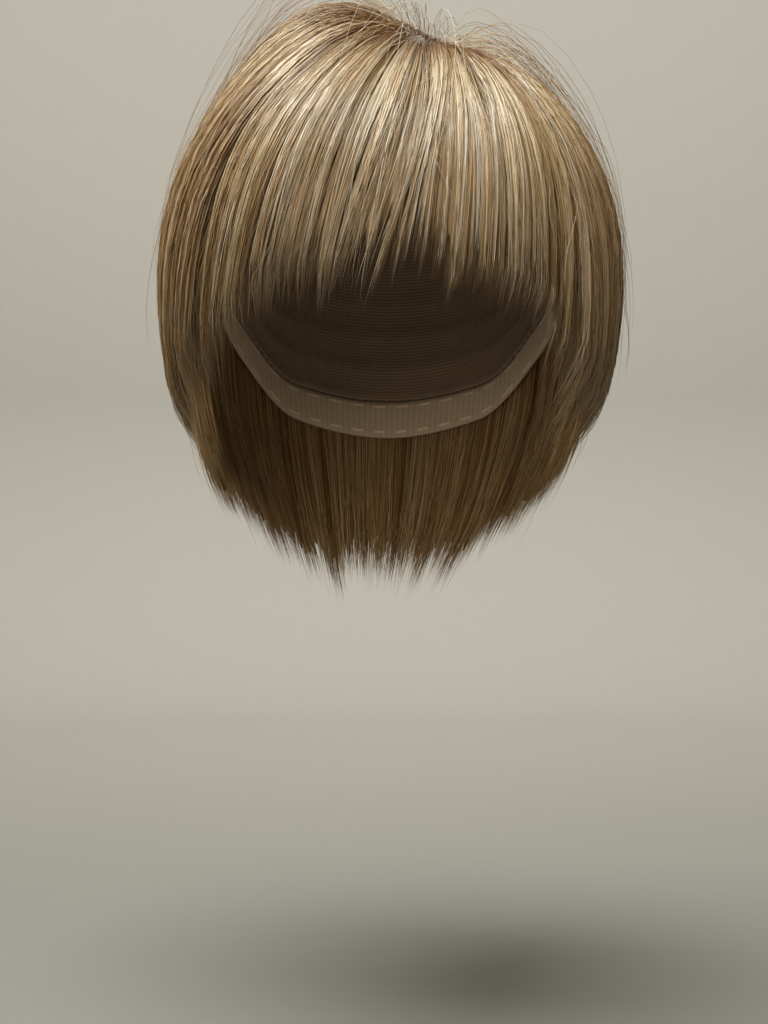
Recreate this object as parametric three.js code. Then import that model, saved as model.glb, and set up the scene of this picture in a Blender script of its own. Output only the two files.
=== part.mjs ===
// A short layered wig with a fringe: a cap with a monofilament top, and five sections of hair.
// Millimetres, +Z up, the face side towards -Y. The origin is the top of the head's place inside the cap.
// Azimuths are in degrees round the head: 0 is the face, +90 the wearer's left, -90 the wearer's right.
import * as THREE from "three";

// Driving dimensions
const HEAD = { halfWidth: 75, front: 92, back: 96, height: 95, roundPlan: 2.1, roundUp: 2.2 };
const HAIR = { halfWidth: 96, front: 106, back: 122, height: 109, roundPlan: 2.15, roundUp: 2.15 };
const CAP_WALL = 1.2;
const SEAT_GAP = 0.75; // between the cap and the roots of the hair
const PIECE_GAP = 0.5; // between neighbouring pieces
const NAPE_DROP = 114; // from the widest level of the head down to the lowest hair tips
const NAPE_NARROWING = { share: 0.45, power: 2.2, backwards: 12, rightwards: 5 };
const WHORL = { left: 16, forward: 30, opening: 5, dip: 0.05, spread: 0.17 };
const FULL_SIDE = { right: 0.24, forward: 0.1, rise: 0.13, spread: 0.27 };

// Levels of the cap's edges and of the hair's tips, below the origin, by azimuth from the face to the nape.
// Both sides are alike. monoEdge and bandEdge are lower edges of the upper panels, and rim is the cap's edge.
const CAP_EDGES = [
  { azimuth: 0, monoEdge: 28, bandEdge: 34, rim: 46 },
  { azimuth: 30, monoEdge: 28, bandEdge: 37, rim: 50 },
  { azimuth: 50, monoEdge: 26, bandEdge: 50, rim: 66 },
  { azimuth: 65, monoEdge: 23, bandEdge: 74, rim: 97 },
  { azimuth: 76, monoEdge: 22, bandEdge: 85, rim: 115 },
  { azimuth: 88, monoEdge: 21, bandEdge: 82, rim: 101 },
  { azimuth: 100, monoEdge: 20, bandEdge: 80, rim: 93 },
  { azimuth: 120, monoEdge: 18, bandEdge: 96, rim: 111 },
  { azimuth: 145, monoEdge: 17, bandEdge: 121, rim: 137 },
  { azimuth: 180, monoEdge: 17, bandEdge: 128, rim: 145 },
];
const TIP_LEVELS = [
  { azimuth: 0, upper: 93, under: 150 },
  { azimuth: 12, upper: 98, under: 150 },
  { azimuth: 26, upper: 103, under: 150 },
  { azimuth: 40, upper: 109, under: 150 },
  { azimuth: 52, upper: 124, under: 150 },
  { azimuth: 66, upper: 140, under: 152 },
  { azimuth: 82, upper: 146, under: 164 },
  { azimuth: 102, upper: 147, under: 177 },
  { azimuth: 126, upper: 148, under: 193 },
  { azimuth: 150, upper: 150, under: 204 },
  { azimuth: 180, upper: 150, under: 208 },
];

// Walls of the hair, as shares of its depth: where the tips lie, how thick they are, and the ledge that an
// upper section leaves free for the layer under it. freeFrom is where along its length the hair hangs free.
const FRINGE_WALL = { tipDepth: 0.62, tipWall: 0.1, ledge: 0, freeFrom: 0.5 };
const UPPER_WALL = { tipDepth: 0.85, tipWall: 0.08, ledge: 0.52, freeFrom: 0.7 };
const UNDER_WALL = { tipDepth: 0.46, tipWall: 0.07, rootLevel: 60, freeFrom: 0.75 };

// Hair sections. from and to are azimuths round the whorl, or round the head for the under layer.
// notch is how far the gap between the tips of two locks reaches up.
const SECTIONS = [
  { name: "fringe", from: -52, to: 52, locks: 13, rows: 9, notch: 17, ...FRINGE_WALL },
  { name: "side_hair_left", from: 52, to: 118, locks: 8, rows: 11, notch: 14, ...UPPER_WALL },
  { name: "back_hair", from: 118, to: 242, locks: 11, rows: 12, notch: 14, ...UPPER_WALL },
  { name: "side_hair_right", from: 242, to: 308, locks: 8, rows: 11, notch: 14, ...UPPER_WALL },
];
const UNDER_LAYER = { name: "nape_hair", from: 69, to: 291, locks: 14, rows: 8, notch: 15, ...UNDER_WALL };
const CAP_COLUMNS = 40;
const COLUMNS_PER_LOCK = 4;
const LOCK_RELIEF = 0.24; // how deep the groove between two locks is, as a share of the hair's depth
const LOCK_UNEVENNESS = 0.36; // how much wider or narrower than its neighbours a lock may be
const TIP_JITTER = 7; // how far a lock's tip may end above or below its level

const COLOURS = {
  mono_top: 0xd9c3a5,
  weft_cap: 0xb59a78,
  edge_band: 0xcdb391,
  fringe: 0xc2a272,
  side_hair_left: 0xb7966a,
  side_hair_right: 0xb7966a,
  back_hair: 0xb7966a,
  nape_hair: 0x937449,
};

const { degToRad: degrees, euclideanModulo, lerp, radToDeg, smoothstep } = THREE.MathUtils;

/** An even spread of numbers from 0 to 1 that never repeats, for the small differences between locks. */
function scatter(count, step = 0.618034) {
  return (count * step) % 1;
}

/** A column's slope at a row: the harmonic mean of the slopes on both sides, or flat at a turn and the ends. */
function tableSlope(table, column, row) {
  if (row === 0 || row === table.length - 1) return 0;
  const step = (low, high) => (high[column] - low[column]) / (high.azimuth - low.azimuth);
  const [before, after] = [step(table[row - 1], table[row]), step(table[row], table[row + 1])];
  return before * after > 0 ? (2 * before * after) / (before + after) : 0;
}

/** One column of a table, read at an azimuth on either side of the head, on a cubic from row to row. */
function readTable(table, column, azimuth) {
  const turned = Math.abs(euclideanModulo(azimuth + 180, 360) - 180);
  const after = Math.max(1, table.findIndex((row) => row.azimuth >= turned));
  const [low, high] = [table[after - 1], table[after]];
  const span = high.azimuth - low.azimuth;
  const share = (turned - low.azimuth) / span;
  const bend = tableSlope(table, column, after - 1) * (1 - share) - tableSlope(table, column, after) * share;
  return lerp(low[column], high[column], smoothstep(share, 0, 1)) + span * share * (1 - share) * bend;
}

/** Half sizes and roundness of the cap's faces, at a distance outside the head. */
function capForm(outside) {
  return {
    ...HEAD,
    halfWidth: HEAD.halfWidth + outside,
    front: HEAD.front + outside,
    back: HEAD.back + outside,
    height: HEAD.height + outside,
  };
}

/** Half sizes and roundness of the hair at a depth: 0 lies on the cap and 1 is the outside. */
function hairForm(depth) {
  const seat = capForm(CAP_WALL + SEAT_GAP);
  return Object.fromEntries(Object.keys(seat).map((key) => [key, lerp(seat[key], HAIR[key], depth)]));
}

/**
 * The point of a rounded form that lies in one direction from its middle.
 * Above the widest level it is a superellipsoid. Below, it hangs straight down and narrows towards the nape.
 */
function formPoint(form, direction, swell = 1) {
  const planSum = Math.abs(direction.x) ** form.roundPlan + Math.abs(direction.y) ** form.roundPlan;
  const deep = direction.y < 0 ? form.front : form.back;
  if (direction.z >= 0) {
    const sum = planSum ** (form.roundUp / form.roundPlan) + direction.z ** form.roundUp;
    const reach = swell * sum ** (-1 / form.roundUp);
    return new THREE.Vector3(
      form.halfWidth * direction.x * reach,
      deep * direction.y * reach,
      form.height * direction.z * reach - HEAD.height,
    );
  }
  const reach = planSum ** (-1 / form.roundPlan);
  const level = Math.hypot(direction.x, direction.y);
  const drop = -form.height * reach * level * Math.asin(direction.z);
  const fall = Math.min(drop / NAPE_DROP, 1.1);
  const narrow = reach * (1 - NAPE_NARROWING.share * fall ** NAPE_NARROWING.power);
  return new THREE.Vector3(
    form.halfWidth * direction.x * narrow - NAPE_NARROWING.rightwards * fall ** 2,
    deep * direction.y * narrow + NAPE_NARROWING.backwards * fall ** 2,
    -drop - HEAD.height,
  );
}

/** The direction at an azimuth and elevation, in radians. */
function headDirection(azimuth, elevation) {
  return new THREE.Vector3(
    Math.cos(elevation) * Math.sin(azimuth),
    -Math.cos(elevation) * Math.cos(azimuth),
    Math.sin(elevation),
  );
}

/** The whorl's direction, and the tangents there that point to the face and to the wearer's left. */
function whorlFrame() {
  const x = WHORL.left / HAIR.halfWidth;
  const y = -WHORL.forward / HAIR.front;
  const pole = new THREE.Vector3(x, y, Math.sqrt(1 - x * x - y * y));
  const toLeft = new THREE.Vector3(0, -1, 0).cross(pole).negate().normalize();
  const toFace = toLeft.clone().cross(pole);
  return { pole, toLeft, toFace };
}
const { pole: WHORL_POLE, toLeft: WHORL_LEFT, toFace: WHORL_FACE } = whorlFrame();

/** The direction that hair combed from the whorl has reached, at an azimuth round it and an angle from it. */
function combedDirection(azimuth, angle) {
  return new THREE.Vector3()
    .addScaledVector(WHORL_POLE, Math.cos(angle))
    .addScaledVector(WHORL_FACE, Math.sin(angle) * Math.cos(azimuth))
    .addScaledVector(WHORL_LEFT, Math.sin(angle) * Math.sin(azimuth));
}

/** How much the outside of the hair swells at the full side of the top and dips at the whorl. */
function hairSwell(direction, depth) {
  const fullX = -FULL_SIDE.right;
  const fullY = -FULL_SIDE.forward;
  const full = new THREE.Vector3(fullX, fullY, Math.sqrt(1 - fullX * fullX - fullY * fullY));
  const rise = FULL_SIDE.rise * Math.exp(-direction.distanceToSquared(full) / (2 * FULL_SIDE.spread ** 2));
  const dip = WHORL.dip * Math.exp(-direction.distanceToSquared(WHORL_POLE) / (2 * WHORL.spread ** 2));
  return 1 + depth * (rise - dip);
}

/** A point of the hair in one direction, at a depth from the cap (0) to the outside (1). */
function hairPoint(direction, depth) {
  return formPoint(hairForm(depth), direction, hairSwell(direction, depth));
}

/** The parameter between low and high where a falling height reaches a level. */
function fallTo(level, low, high, height) {
  for (let step = 0; step < 40; step++) {
    const middle = (low + high) / 2;
    if (height(middle) > level) low = middle;
    else high = middle;
  }
  return (low + high) / 2;
}

/** A closed wall between two faces. place(side, column, row) gives its points, and side 0 is outside. */
function wallGeometry(columns, rows, wraps, place) {
  const across = wraps ? columns : columns + 1;
  const points = [];
  const index = [];
  for (const side of [0, 1])
    for (let row = 0; row <= rows; row++)
      for (let column = 0; column < across; column++) points.push(place(side, column, row));
  const at = (side, column, row) => (side * (rows + 1) + row) * across + (column % across);
  const quad = (a, b, c, d) => index.push(a, b, c, a, c, d);
  for (let column = 0; column < columns; column++) {
    const next = column + 1;
    for (let row = 0; row < rows; row++) {
      quad(at(0, column, row), at(0, column, row + 1), at(0, next, row + 1), at(0, next, row));
      quad(at(1, column, row), at(1, next, row), at(1, next, row + 1), at(1, column, row + 1));
    }
    quad(at(0, column, 0), at(0, next, 0), at(1, next, 0), at(1, column, 0));
    quad(at(0, column, rows), at(1, column, rows), at(1, next, rows), at(0, next, rows));
  }
  for (let row = 0; row < rows && !wraps; row++) {
    quad(at(0, 0, row), at(1, 0, row), at(1, 0, row + 1), at(0, 0, row + 1));
    quad(at(0, columns, row), at(0, columns, row + 1), at(1, columns, row + 1), at(1, columns, row));
  }
  return solidGeometry(points, index);
}

/** A closed dome wall: rings of points below one top point, on an outer and an inner face. */
function domeGeometry(columns, rings, top, place) {
  const points = [top(0), top(1)];
  const index = [];
  for (const side of [0, 1])
    for (let ring = 1; ring <= rings; ring++)
      for (let column = 0; column < columns; column++) points.push(place(side, column, ring));
  const at = (side, column, ring) => 2 + (side * rings + ring - 1) * columns + (column % columns);
  for (let column = 0; column < columns; column++) {
    const next = column + 1;
    index.push(0, at(0, column, 1), at(0, next, 1));
    index.push(1, at(1, next, 1), at(1, column, 1));
    for (let ring = 1; ring < rings; ring++) {
      const [a, b] = [at(0, column, ring), at(0, column, ring + 1)];
      const [c, d] = [at(0, next, ring + 1), at(0, next, ring)];
      index.push(a, b, c, a, c, d);
      const [e, f] = [at(1, column, ring), at(1, next, ring)];
      const [g, h] = [at(1, next, ring + 1), at(1, column, ring + 1)];
      index.push(e, f, g, e, g, h);
    }
    const [a, b] = [at(0, column, rings), at(1, column, rings)];
    const [c, d] = [at(1, next, rings), at(0, next, rings)];
    index.push(a, b, c, a, c, d);
  }
  return solidGeometry(points, index);
}

/** A geometry from shared points and the triangles between them. */
function solidGeometry(points, index) {
  const geometry = new THREE.BufferGeometry();
  geometry.setAttribute("position", new THREE.Float32BufferAttribute(points.flatMap((p) => p.toArray()), 3));
  geometry.setIndex(index);
  geometry.computeVertexNormals();
  return geometry;
}

/** A named piece with its own colour and finish. */
function piece(name, geometry, roughness) {
  const material = new THREE.MeshStandardMaterial({ color: COLOURS[name], roughness, metalness: 0 });
  const mesh = new THREE.Mesh(geometry, material);
  mesh.name = name;
  return mesh;
}

/** The elevation on the cap where it reaches a level below the origin. */
function capElevation(azimuth, levelBelow) {
  const height = (angle) => formPoint(HEAD, headDirection(azimuth, -angle)).z;
  return -fallTo(-levelBelow, -Math.PI / 2, 1, height);
}

/** A point on the cap's outer (side 0) or inner (side 1) face. */
function capPoint(side, azimuth, elevation) {
  return formPoint(capForm(side === 0 ? CAP_WALL : 0), headDirection(azimuth, elevation));
}

/** A ring of the cap between two edges of the table, held off its upper edge by the gap between pieces. */
function capRing(upperEdge, lowerEdge, rows) {
  return wallGeometry(CAP_COLUMNS, rows, true, (side, column, row) => {
    const turn = (360 * column) / CAP_COLUMNS;
    const azimuth = degrees(turn);
    const upper = capElevation(azimuth, readTable(CAP_EDGES, upperEdge, turn) + PIECE_GAP);
    const lower = capElevation(azimuth, readTable(CAP_EDGES, lowerEdge, turn));
    return capPoint(side, azimuth, lerp(upper, lower, row / rows));
  });
}

/** The sheer panel on the top of the cap, where the parting hair is knotted. */
function monoTop() {
  const rings = 4;
  const top = (side) => capPoint(side, 0, Math.PI / 2);
  const geometry = domeGeometry(CAP_COLUMNS, rings, top, (side, column, ring) => {
    const turn = (360 * column) / CAP_COLUMNS;
    const azimuth = degrees(turn);
    const edge = capElevation(azimuth, readTable(CAP_EDGES, "monoEdge", turn));
    return capPoint(side, azimuth, lerp(Math.PI / 2, edge, ring / rings));
  });
  return piece("mono_top", geometry, 0.8);
}

/** The wefted sides and back of the cap. */
function weftCap() {
  return piece("weft_cap", capRing("monoEdge", "bandEdge", 4), 0.9);
}

/** The soft band round the cap's edge, with a tab in front of each ear. */
function edgeBand() {
  return piece("edge_band", capRing("bandEdge", "rim", 2), 0.9);
}

/** Where a column of a section lies: its lock, its place across that lock from -1 to 1, and its azimuth. */
function lockColumn(section, column, edgeGap = 0) {
  const lock = Math.min(Math.floor(column / COLUMNS_PER_LOCK), section.locks - 1);
  const across = (2 * (column - lock * COLUMNS_PER_LOCK)) / COLUMNS_PER_LOCK - 1;
  const edge = (count) => {
    const inside = count > 0 && count < section.locks;
    return count + (inside ? LOCK_UNEVENNESS * (scatter(count + section.to) - 0.5) : 0);
  };
  const share = lerp(edge(lock), edge(lock + 1), (across + 1) / 2) / section.locks;
  const azimuth = lerp(degrees(section.from) + edgeGap, degrees(section.to) - edgeGap, share);
  return { lock, across, azimuth };
}

/** The level where a lock's column ends: its tip hangs lower than the gaps on both sides of it. */
function tipLevel(section, column, levelBelow) {
  const { lock, across } = lockColumn(section, column);
  const jitter = TIP_JITTER * (2 * scatter(lock + 1, 0.754878) - 1);
  return -levelBelow + section.notch * Math.abs(across) ** 1.4 - jitter * (1 - Math.abs(across));
}

/** The angle from the whorl where a column of the upper layer ends. */
function combedEnd(section, column) {
  const { azimuth } = lockColumn(section, column);
  const side = combedDirection(azimuth, degrees(95));
  const turn = radToDeg(Math.atan2(side.x, -side.y));
  const level = tipLevel(section, column, readTable(TIP_LEVELS, "upper", turn));
  return fallTo(level, 0.6, 2.5, (angle) => hairPoint(combedDirection(azimuth, angle), 1).z);
}

/** A section of the upper layer: hair combed from the whorl, in locks that hang free at their tips. */
function upperSection(section) {
  const columns = section.locks * COLUMNS_PER_LOCK;
  const start = WHORL.opening / HAIR.height;
  const ends = Array.from({ length: columns + 1 }, (_, column) => combedEnd(section, column));
  const geometry = wallGeometry(columns, section.rows, false, (side, column, row) => {
    const along = row / section.rows;
    const angle = lerp(start, ends[column], along);
    const edgeGap = PIECE_GAP / (2 * HAIR.height * Math.sin(angle));
    const { across, azimuth } = lockColumn(section, column, edgeGap);
    const direction = combedDirection(azimuth, angle);
    const groove = LOCK_RELIEF * across ** 2 * smoothstep(along, 0.06, 0.55);
    const outside = lerp(1, section.tipDepth, smoothstep(along, 0.45, 1)) - groove;
    if (side === 0) return hairPoint(direction, outside);
    const ledge = section.ledge * smoothstep(-direction.z, -0.52, -0.34);
    const hanging = (outside - section.tipWall) * smoothstep(along, section.freeFrom, 1);
    return hairPoint(direction, Math.min(Math.max(ledge, hanging), outside - section.tipWall));
  });
  return piece(section.name, geometry, 0.55);
}

/** The under layer: hair of the lower rows, from ear to ear round the nape, under the upper layer's ends. */
function underLayer(section) {
  const columns = section.locks * COLUMNS_PER_LOCK;
  const geometry = wallGeometry(columns, section.rows, false, (side, column, row) => {
    const { across, azimuth } = lockColumn(section, column);
    const height = (angle) => hairPoint(headDirection(azimuth, -angle), 0).z;
    const level = tipLevel(section, column, readTable(TIP_LEVELS, "under", radToDeg(azimuth)));
    const root = fallTo(-section.rootLevel, -Math.PI / 2, 1.2, height);
    const tip = fallTo(level, -Math.PI / 2, 1.2, height);
    const along = row / section.rows;
    const direction = headDirection(azimuth, -lerp(root, tip, along));
    const groove = LOCK_RELIEF * across ** 2 * smoothstep(along, 0.35, 0.8);
    const outside = section.tipDepth * lerp(0.2, 1, smoothstep(along, 0, 0.3)) - groove;
    if (side === 0) return hairPoint(direction, Math.max(outside, section.tipWall));
    const hanging = (outside - section.tipWall) * smoothstep(along, section.freeFrom, 1);
    return hairPoint(direction, Math.max(0, hanging));
  });
  return piece(section.name, geometry, 0.6);
}

const wig = new THREE.Group();
wig.add(monoTop(), weftCap(), edgeBand());
wig.add(...SECTIONS.map(upperSection), underLayer(UNDER_LAYER));

export default wig;
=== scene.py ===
"""Looks of a short blond wig: combed strands over backed locks, on a cap with a sheer top.

Lengths are in millimetres until a mesh is made. The frame is the solids' own: +Z up, the front towards -Y,
the wearer's left towards +X, and the origin inside the top of the cap.
"""

import logging
import math
from collections.abc import Callable, Sequence
from dataclasses import dataclass
from enum import Enum
from typing import Any

import bpy
import numpy as np
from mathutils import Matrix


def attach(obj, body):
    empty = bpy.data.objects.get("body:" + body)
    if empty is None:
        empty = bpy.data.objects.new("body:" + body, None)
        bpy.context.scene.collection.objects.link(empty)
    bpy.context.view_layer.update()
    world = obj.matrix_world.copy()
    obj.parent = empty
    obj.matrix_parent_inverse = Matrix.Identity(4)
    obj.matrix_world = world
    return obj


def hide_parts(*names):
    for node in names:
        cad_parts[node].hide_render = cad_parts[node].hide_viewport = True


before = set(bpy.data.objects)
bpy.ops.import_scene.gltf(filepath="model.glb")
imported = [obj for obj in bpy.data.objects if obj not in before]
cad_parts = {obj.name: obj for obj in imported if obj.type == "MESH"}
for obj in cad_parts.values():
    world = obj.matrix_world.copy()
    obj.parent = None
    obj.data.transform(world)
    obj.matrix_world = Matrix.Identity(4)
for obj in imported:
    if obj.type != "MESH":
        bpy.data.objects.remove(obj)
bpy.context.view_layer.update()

LOG = logging.getLogger("wig")
MM = 0.001
BODY = "root"
# The export bakes a piece through its own map where it has this name, so strands bake by tone and length.
STRAND_MAP = "OFBake"
PANEL_MAP = "panel"
TINY = 1e-12
HALVINGS = 32
# Radians over which phases are drawn.
FULL_TURN = 6.283

Array = np.ndarray
Value = float | np.ndarray
Colour = tuple[float, float, float]
Stops = Sequence[tuple[float, Colour]]
Window = tuple[float, float]


def ease(value: Value, low: float, high: float) -> Array:
    """Smooth step from 0 at low to 1 at high: 3t squared minus 2t cubed."""
    t = np.clip((np.asarray(value, dtype=float) - low) / (high - low), 0.0, 1.0)
    return t * t * (3.0 - 2.0 * t)


def mix(low: Value, high: Value, share: Value) -> Value:
    """Straight blend from low to high."""
    return low + (high - low) * share


def dimmed(colour: Colour, part: float) -> Colour:
    """A colour with each channel times a part."""
    return tuple(part * channel for channel in colour)


@dataclass(frozen=True)
class Pattern:
    """An even spread from 0 to 1 that never repeats: a count times a step, without its whole part."""

    step: float
    first: int = 0

    def at(self, count: Array) -> Array:
        """The spread at some counts."""
        return np.mod((np.asarray(count, dtype=float) + self.first) * self.step, 1.0)

    def centred(self, count: Array) -> Array:
        """The spread at some counts, from -0.5 to 0.5."""
        return self.at(count) - 0.5


LOCK_EDGES = Pattern(0.618034)
LOCK_TIPS = Pattern(0.754878, 1)
BACKING_ENDS = Pattern(0.618034)
WISP_PLACES = Pattern(0.7548777, 3)
WISP_SWAY = Pattern(0.7548777)
WISP_CUTS = Pattern(0.5698403, 11)
FINE_CUTS = Pattern(0.7320508)
HANGING_CUTS = Pattern(0.5698403)
WISP_LEVELS = Pattern(0.4142136)
WISP_TONES = Pattern(0.5545497, 7)


@dataclass(frozen=True)
class RoundForm:
    """Half sizes of a domed form, and how round it is in plan and upwards."""

    half_width: Value
    front: Value
    back: Value
    height: Value
    round_plan: Value
    round_up: Value

    def grown(self, outside: float) -> "RoundForm":
        """The same form, larger by a distance on every side."""
        sizes = (self.half_width, self.front, self.back, self.height)
        return RoundForm(*(size + outside for size in sizes), self.round_plan, self.round_up)

    def towards(self, other: "RoundForm", share: Value) -> "RoundForm":
        """The form that lies at a share of the way to another one."""
        names = ("half_width", "front", "back", "height", "round_plan", "round_up")
        return RoundForm(*(mix(getattr(self, name), getattr(other, name), share) for name in names))


CAP_FORM = RoundForm(75.0, 92.0, 96.0, 95.0, 2.1, 2.2)
HAIR_FORM = RoundForm(96.0, 106.0, 122.0, 109.0, 2.15, 2.15)


@dataclass(frozen=True)
class WigShape:
    """The shapes that cap and hair follow: round above the widest level, hanging and narrowing below it.

    The nape's values hold for a fall of nape_drop. The whorl's place is in millimetres of the hair's half
    sizes, and the full side's is in parts of a unit direction.
    """

    cap_wall: float = 1.2
    seat_gap: float = 0.75
    nape_drop: float = 114.0
    nape_share: float = 0.45
    nape_power: float = 2.2
    nape_back: float = 12.0
    nape_right: float = 5.0
    lowest_fall: float = 1.12
    whorl_left: float = 16.0
    whorl_forward: float = 30.0
    whorl_dip: float = 0.05
    whorl_spread: float = 0.17
    full_right: float = 0.24
    full_forward: float = 0.1
    full_rise: float = 0.13
    full_spread: float = 0.27

    def place(self, form: RoundForm, direction: Array, swell: Value = 1.0) -> Array:
        """The point of a form in a direction from its middle.

        Above the widest level the point is on a superellipsoid. Below it the plan outline hangs straight
        down by the arc of the direction's dip, and narrows with a power of how far it has fallen.

        Args:
            form: The half sizes, as numbers or as arrays.
            direction: Unit directions, with x, y and z last.
            swell: How much larger than the form the upper part is.

        Returns:
            Points in millimetres, with x, y and z last.
        """
        x, y, z = np.moveaxis(direction, -1, 0)
        plan = np.maximum(np.abs(x) ** form.round_plan + np.abs(y) ** form.round_plan, TINY)
        deep = np.where(y < 0, form.front, form.back)
        total = plan ** (form.round_up / form.round_plan) + np.maximum(z, 0) ** form.round_up
        above = swell * total ** (-1.0 / form.round_up)
        outline = plan ** (-1.0 / form.round_plan)
        drop = -form.height * outline * np.hypot(x, y) * np.arcsin(np.clip(z, -1, 0))
        fall = np.minimum(drop / self.nape_drop, self.lowest_fall)
        below = outline * (1 - self.nape_share * fall**self.nape_power)
        upper = np.stack([form.half_width * x * above, deep * y * above, form.height * z * above], -1)
        hung_x = form.half_width * x * below - self.nape_right * fall**2
        hung_y = deep * y * below + self.nape_back * fall**2
        lower = np.stack([hung_x, hung_y, -drop], -1)
        return np.where((z >= 0)[..., None], upper, lower) - np.array([0, 0, CAP_FORM.height])

    @property
    def whorl(self) -> tuple[Array, Array, Array]:
        """The place that the hair is combed from.

        Returns:
            The whorl's direction, and the tangents there to the front and to the wearer's left.
        """
        x = self.whorl_left / HAIR_FORM.half_width
        y = -self.whorl_forward / HAIR_FORM.front
        pole = np.array([x, y, math.sqrt(1 - x * x - y * y)])
        to_left = np.cross(pole, [0, -1, 0])
        to_left /= np.linalg.norm(to_left)
        return pole, np.cross(to_left, pole), to_left

    def combed(self, azimuth: Array, angle: Array) -> Array:
        """The direction reached by hair combed from the whorl along a great circle.

        Args:
            azimuth: Which way the hair leaves the whorl, in radians from the front to the wearer's left.
            angle: How far it goes, in radians.

        Returns:
            Unit directions, with x, y and z last.
        """
        pole, to_front, to_left = self.whorl
        turned = np.cos(azimuth)[..., None] * to_front + np.sin(azimuth)[..., None] * to_left
        return np.cos(angle)[..., None] * pole + np.sin(angle)[..., None] * turned

    @staticmethod
    def facing(azimuth: Array, elevation: Array) -> Array:
        """The direction at an azimuth round the wig and an elevation, both in radians."""
        level = np.cos(elevation)
        return np.stack([level * np.sin(azimuth), -level * np.cos(azimuth), np.sin(elevation)], -1)

    def hair(self, direction: Array, depth: Array) -> Array:
        """A point of the hair in a direction, at a depth from the cap (0) to the outside (1).

        The half sizes run straight from the cap to the outside. Two round bumps, each a Gaussian of the
        distance between directions, lift the full side of the top and sink the whorl.

        Args:
            direction: Unit directions, with x, y and z last.
            depth: Shares of the way from the cap to the outside.

        Returns:
            Points in millimetres, with x, y and z last.
        """
        x, y = -self.full_right, -self.full_forward
        full = np.array([x, y, math.sqrt(1 - x * x - y * y)])
        from_full = ((direction - full) ** 2).sum(-1)
        from_whorl = ((direction - self.whorl[0]) ** 2).sum(-1)
        rise = self.full_rise * np.exp(-from_full / (2 * self.full_spread**2))
        dip = self.whorl_dip * np.exp(-from_whorl / (2 * self.whorl_spread**2))
        form = CAP_FORM.grown(self.cap_wall + self.seat_gap).towards(HAIR_FORM, depth)
        return self.place(form, direction, 1 + depth * (rise - dip))


SHAPE = WigShape()


@dataclass(frozen=True)
class EdgeTable:
    """Levels below the origin, by azimuth in degrees from the front to the nape. Both sides are alike."""

    azimuths: tuple[float, ...]
    levels: tuple[float, ...]

    @property
    def slopes(self) -> Array:
        """The slope of the curve at each row.

        Returns:
            The harmonic mean of the slopes on both sides, or 0 at a turn and at both ends.
        """
        steps = np.diff(self.levels) / np.diff(self.azimuths)
        before, after = steps[:-1], steps[1:]
        same = before * after > 0
        means = np.where(same, 2 * before * after / np.where(same, before + after, 1), 0)
        return np.concatenate([[0.0], means, [0.0]])

    def read(self, azimuth: Array) -> Array:
        """The level at azimuths in radians, on a cubic from one row of the table to the next.

        Args:
            azimuth: Azimuths round the wig.

        Returns:
            Levels in millimetres below the origin.
        """
        rows, values, slopes = np.array(self.azimuths), np.array(self.levels), self.slopes
        turned = np.abs(np.mod(np.degrees(azimuth) + 180, 360) - 180)
        after = np.clip(np.searchsorted(rows, turned), 1, len(rows) - 1)
        span = rows[after] - rows[after - 1]
        t = np.clip((turned - rows[after - 1]) / span, 0, 1)
        bend = slopes[after - 1] * (1 - t) - slopes[after] * t
        return mix(values[after - 1], values[after], t * t * (3 - 2 * t)) + span * t * (1 - t) * bend


CAP_AZIMUTHS = (0.0, 30.0, 50.0, 65.0, 76.0, 88.0, 100.0, 120.0, 145.0, 180.0)
MONO_EDGE = EdgeTable(CAP_AZIMUTHS, (28.0, 28.0, 26.0, 23.0, 22.0, 21.0, 20.0, 18.0, 17.0, 17.0))
BAND_EDGE = EdgeTable(CAP_AZIMUTHS, (34.0, 37.0, 50.0, 74.0, 85.0, 82.0, 80.0, 96.0, 121.0, 128.0))
CAP_RIM = EdgeTable(CAP_AZIMUTHS, (46.0, 50.0, 66.0, 97.0, 115.0, 101.0, 93.0, 111.0, 137.0, 145.0))
TIP_AZIMUTHS = (0.0, 12.0, 26.0, 40.0, 52.0, 66.0, 82.0, 102.0, 126.0, 150.0, 180.0)
UPPER_TIPS = EdgeTable(
    TIP_AZIMUTHS, (93.0, 98.0, 103.0, 109.0, 124.0, 140.0, 146.0, 147.0, 148.0, 150.0, 150.0)
)
UNDER_TIPS = EdgeTable(
    TIP_AZIMUTHS, (150.0, 150.0, 150.0, 150.0, 150.0, 152.0, 164.0, 177.0, 193.0, 204.0, 208.0)
)

# Parameters between which a falling height is looked for: hair's angles, hanging hair's dips, the cap's dips.
ANGLE_RANGE: Window = (0.6, 2.5)
DIP_RANGE: Window = (-1.5, 1.3)
CAP_DIP_RANGE: Window = (-math.pi / 2, 1.0)


def fall_to(level: Array, low: float, high: float, height: Callable[[Array], Array]) -> Array:
    """Where a falling height reaches a level, by halving the span again and again.

    Args:
        level: The heights to reach.
        low: A parameter above the level.
        high: A parameter below it.
        height: A function from parameters to heights.

    Returns:
        The parameters, shaped like level.
    """
    lows = np.full(np.shape(level), low)
    highs = np.full(np.shape(level), high)
    for _ in range(HALVINGS):
        middle = (lows + highs) / 2
        above = height(middle) > level
        lows = np.where(above, middle, lows)
        highs = np.where(above, highs, middle)
    return (lows + highs) / 2


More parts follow.
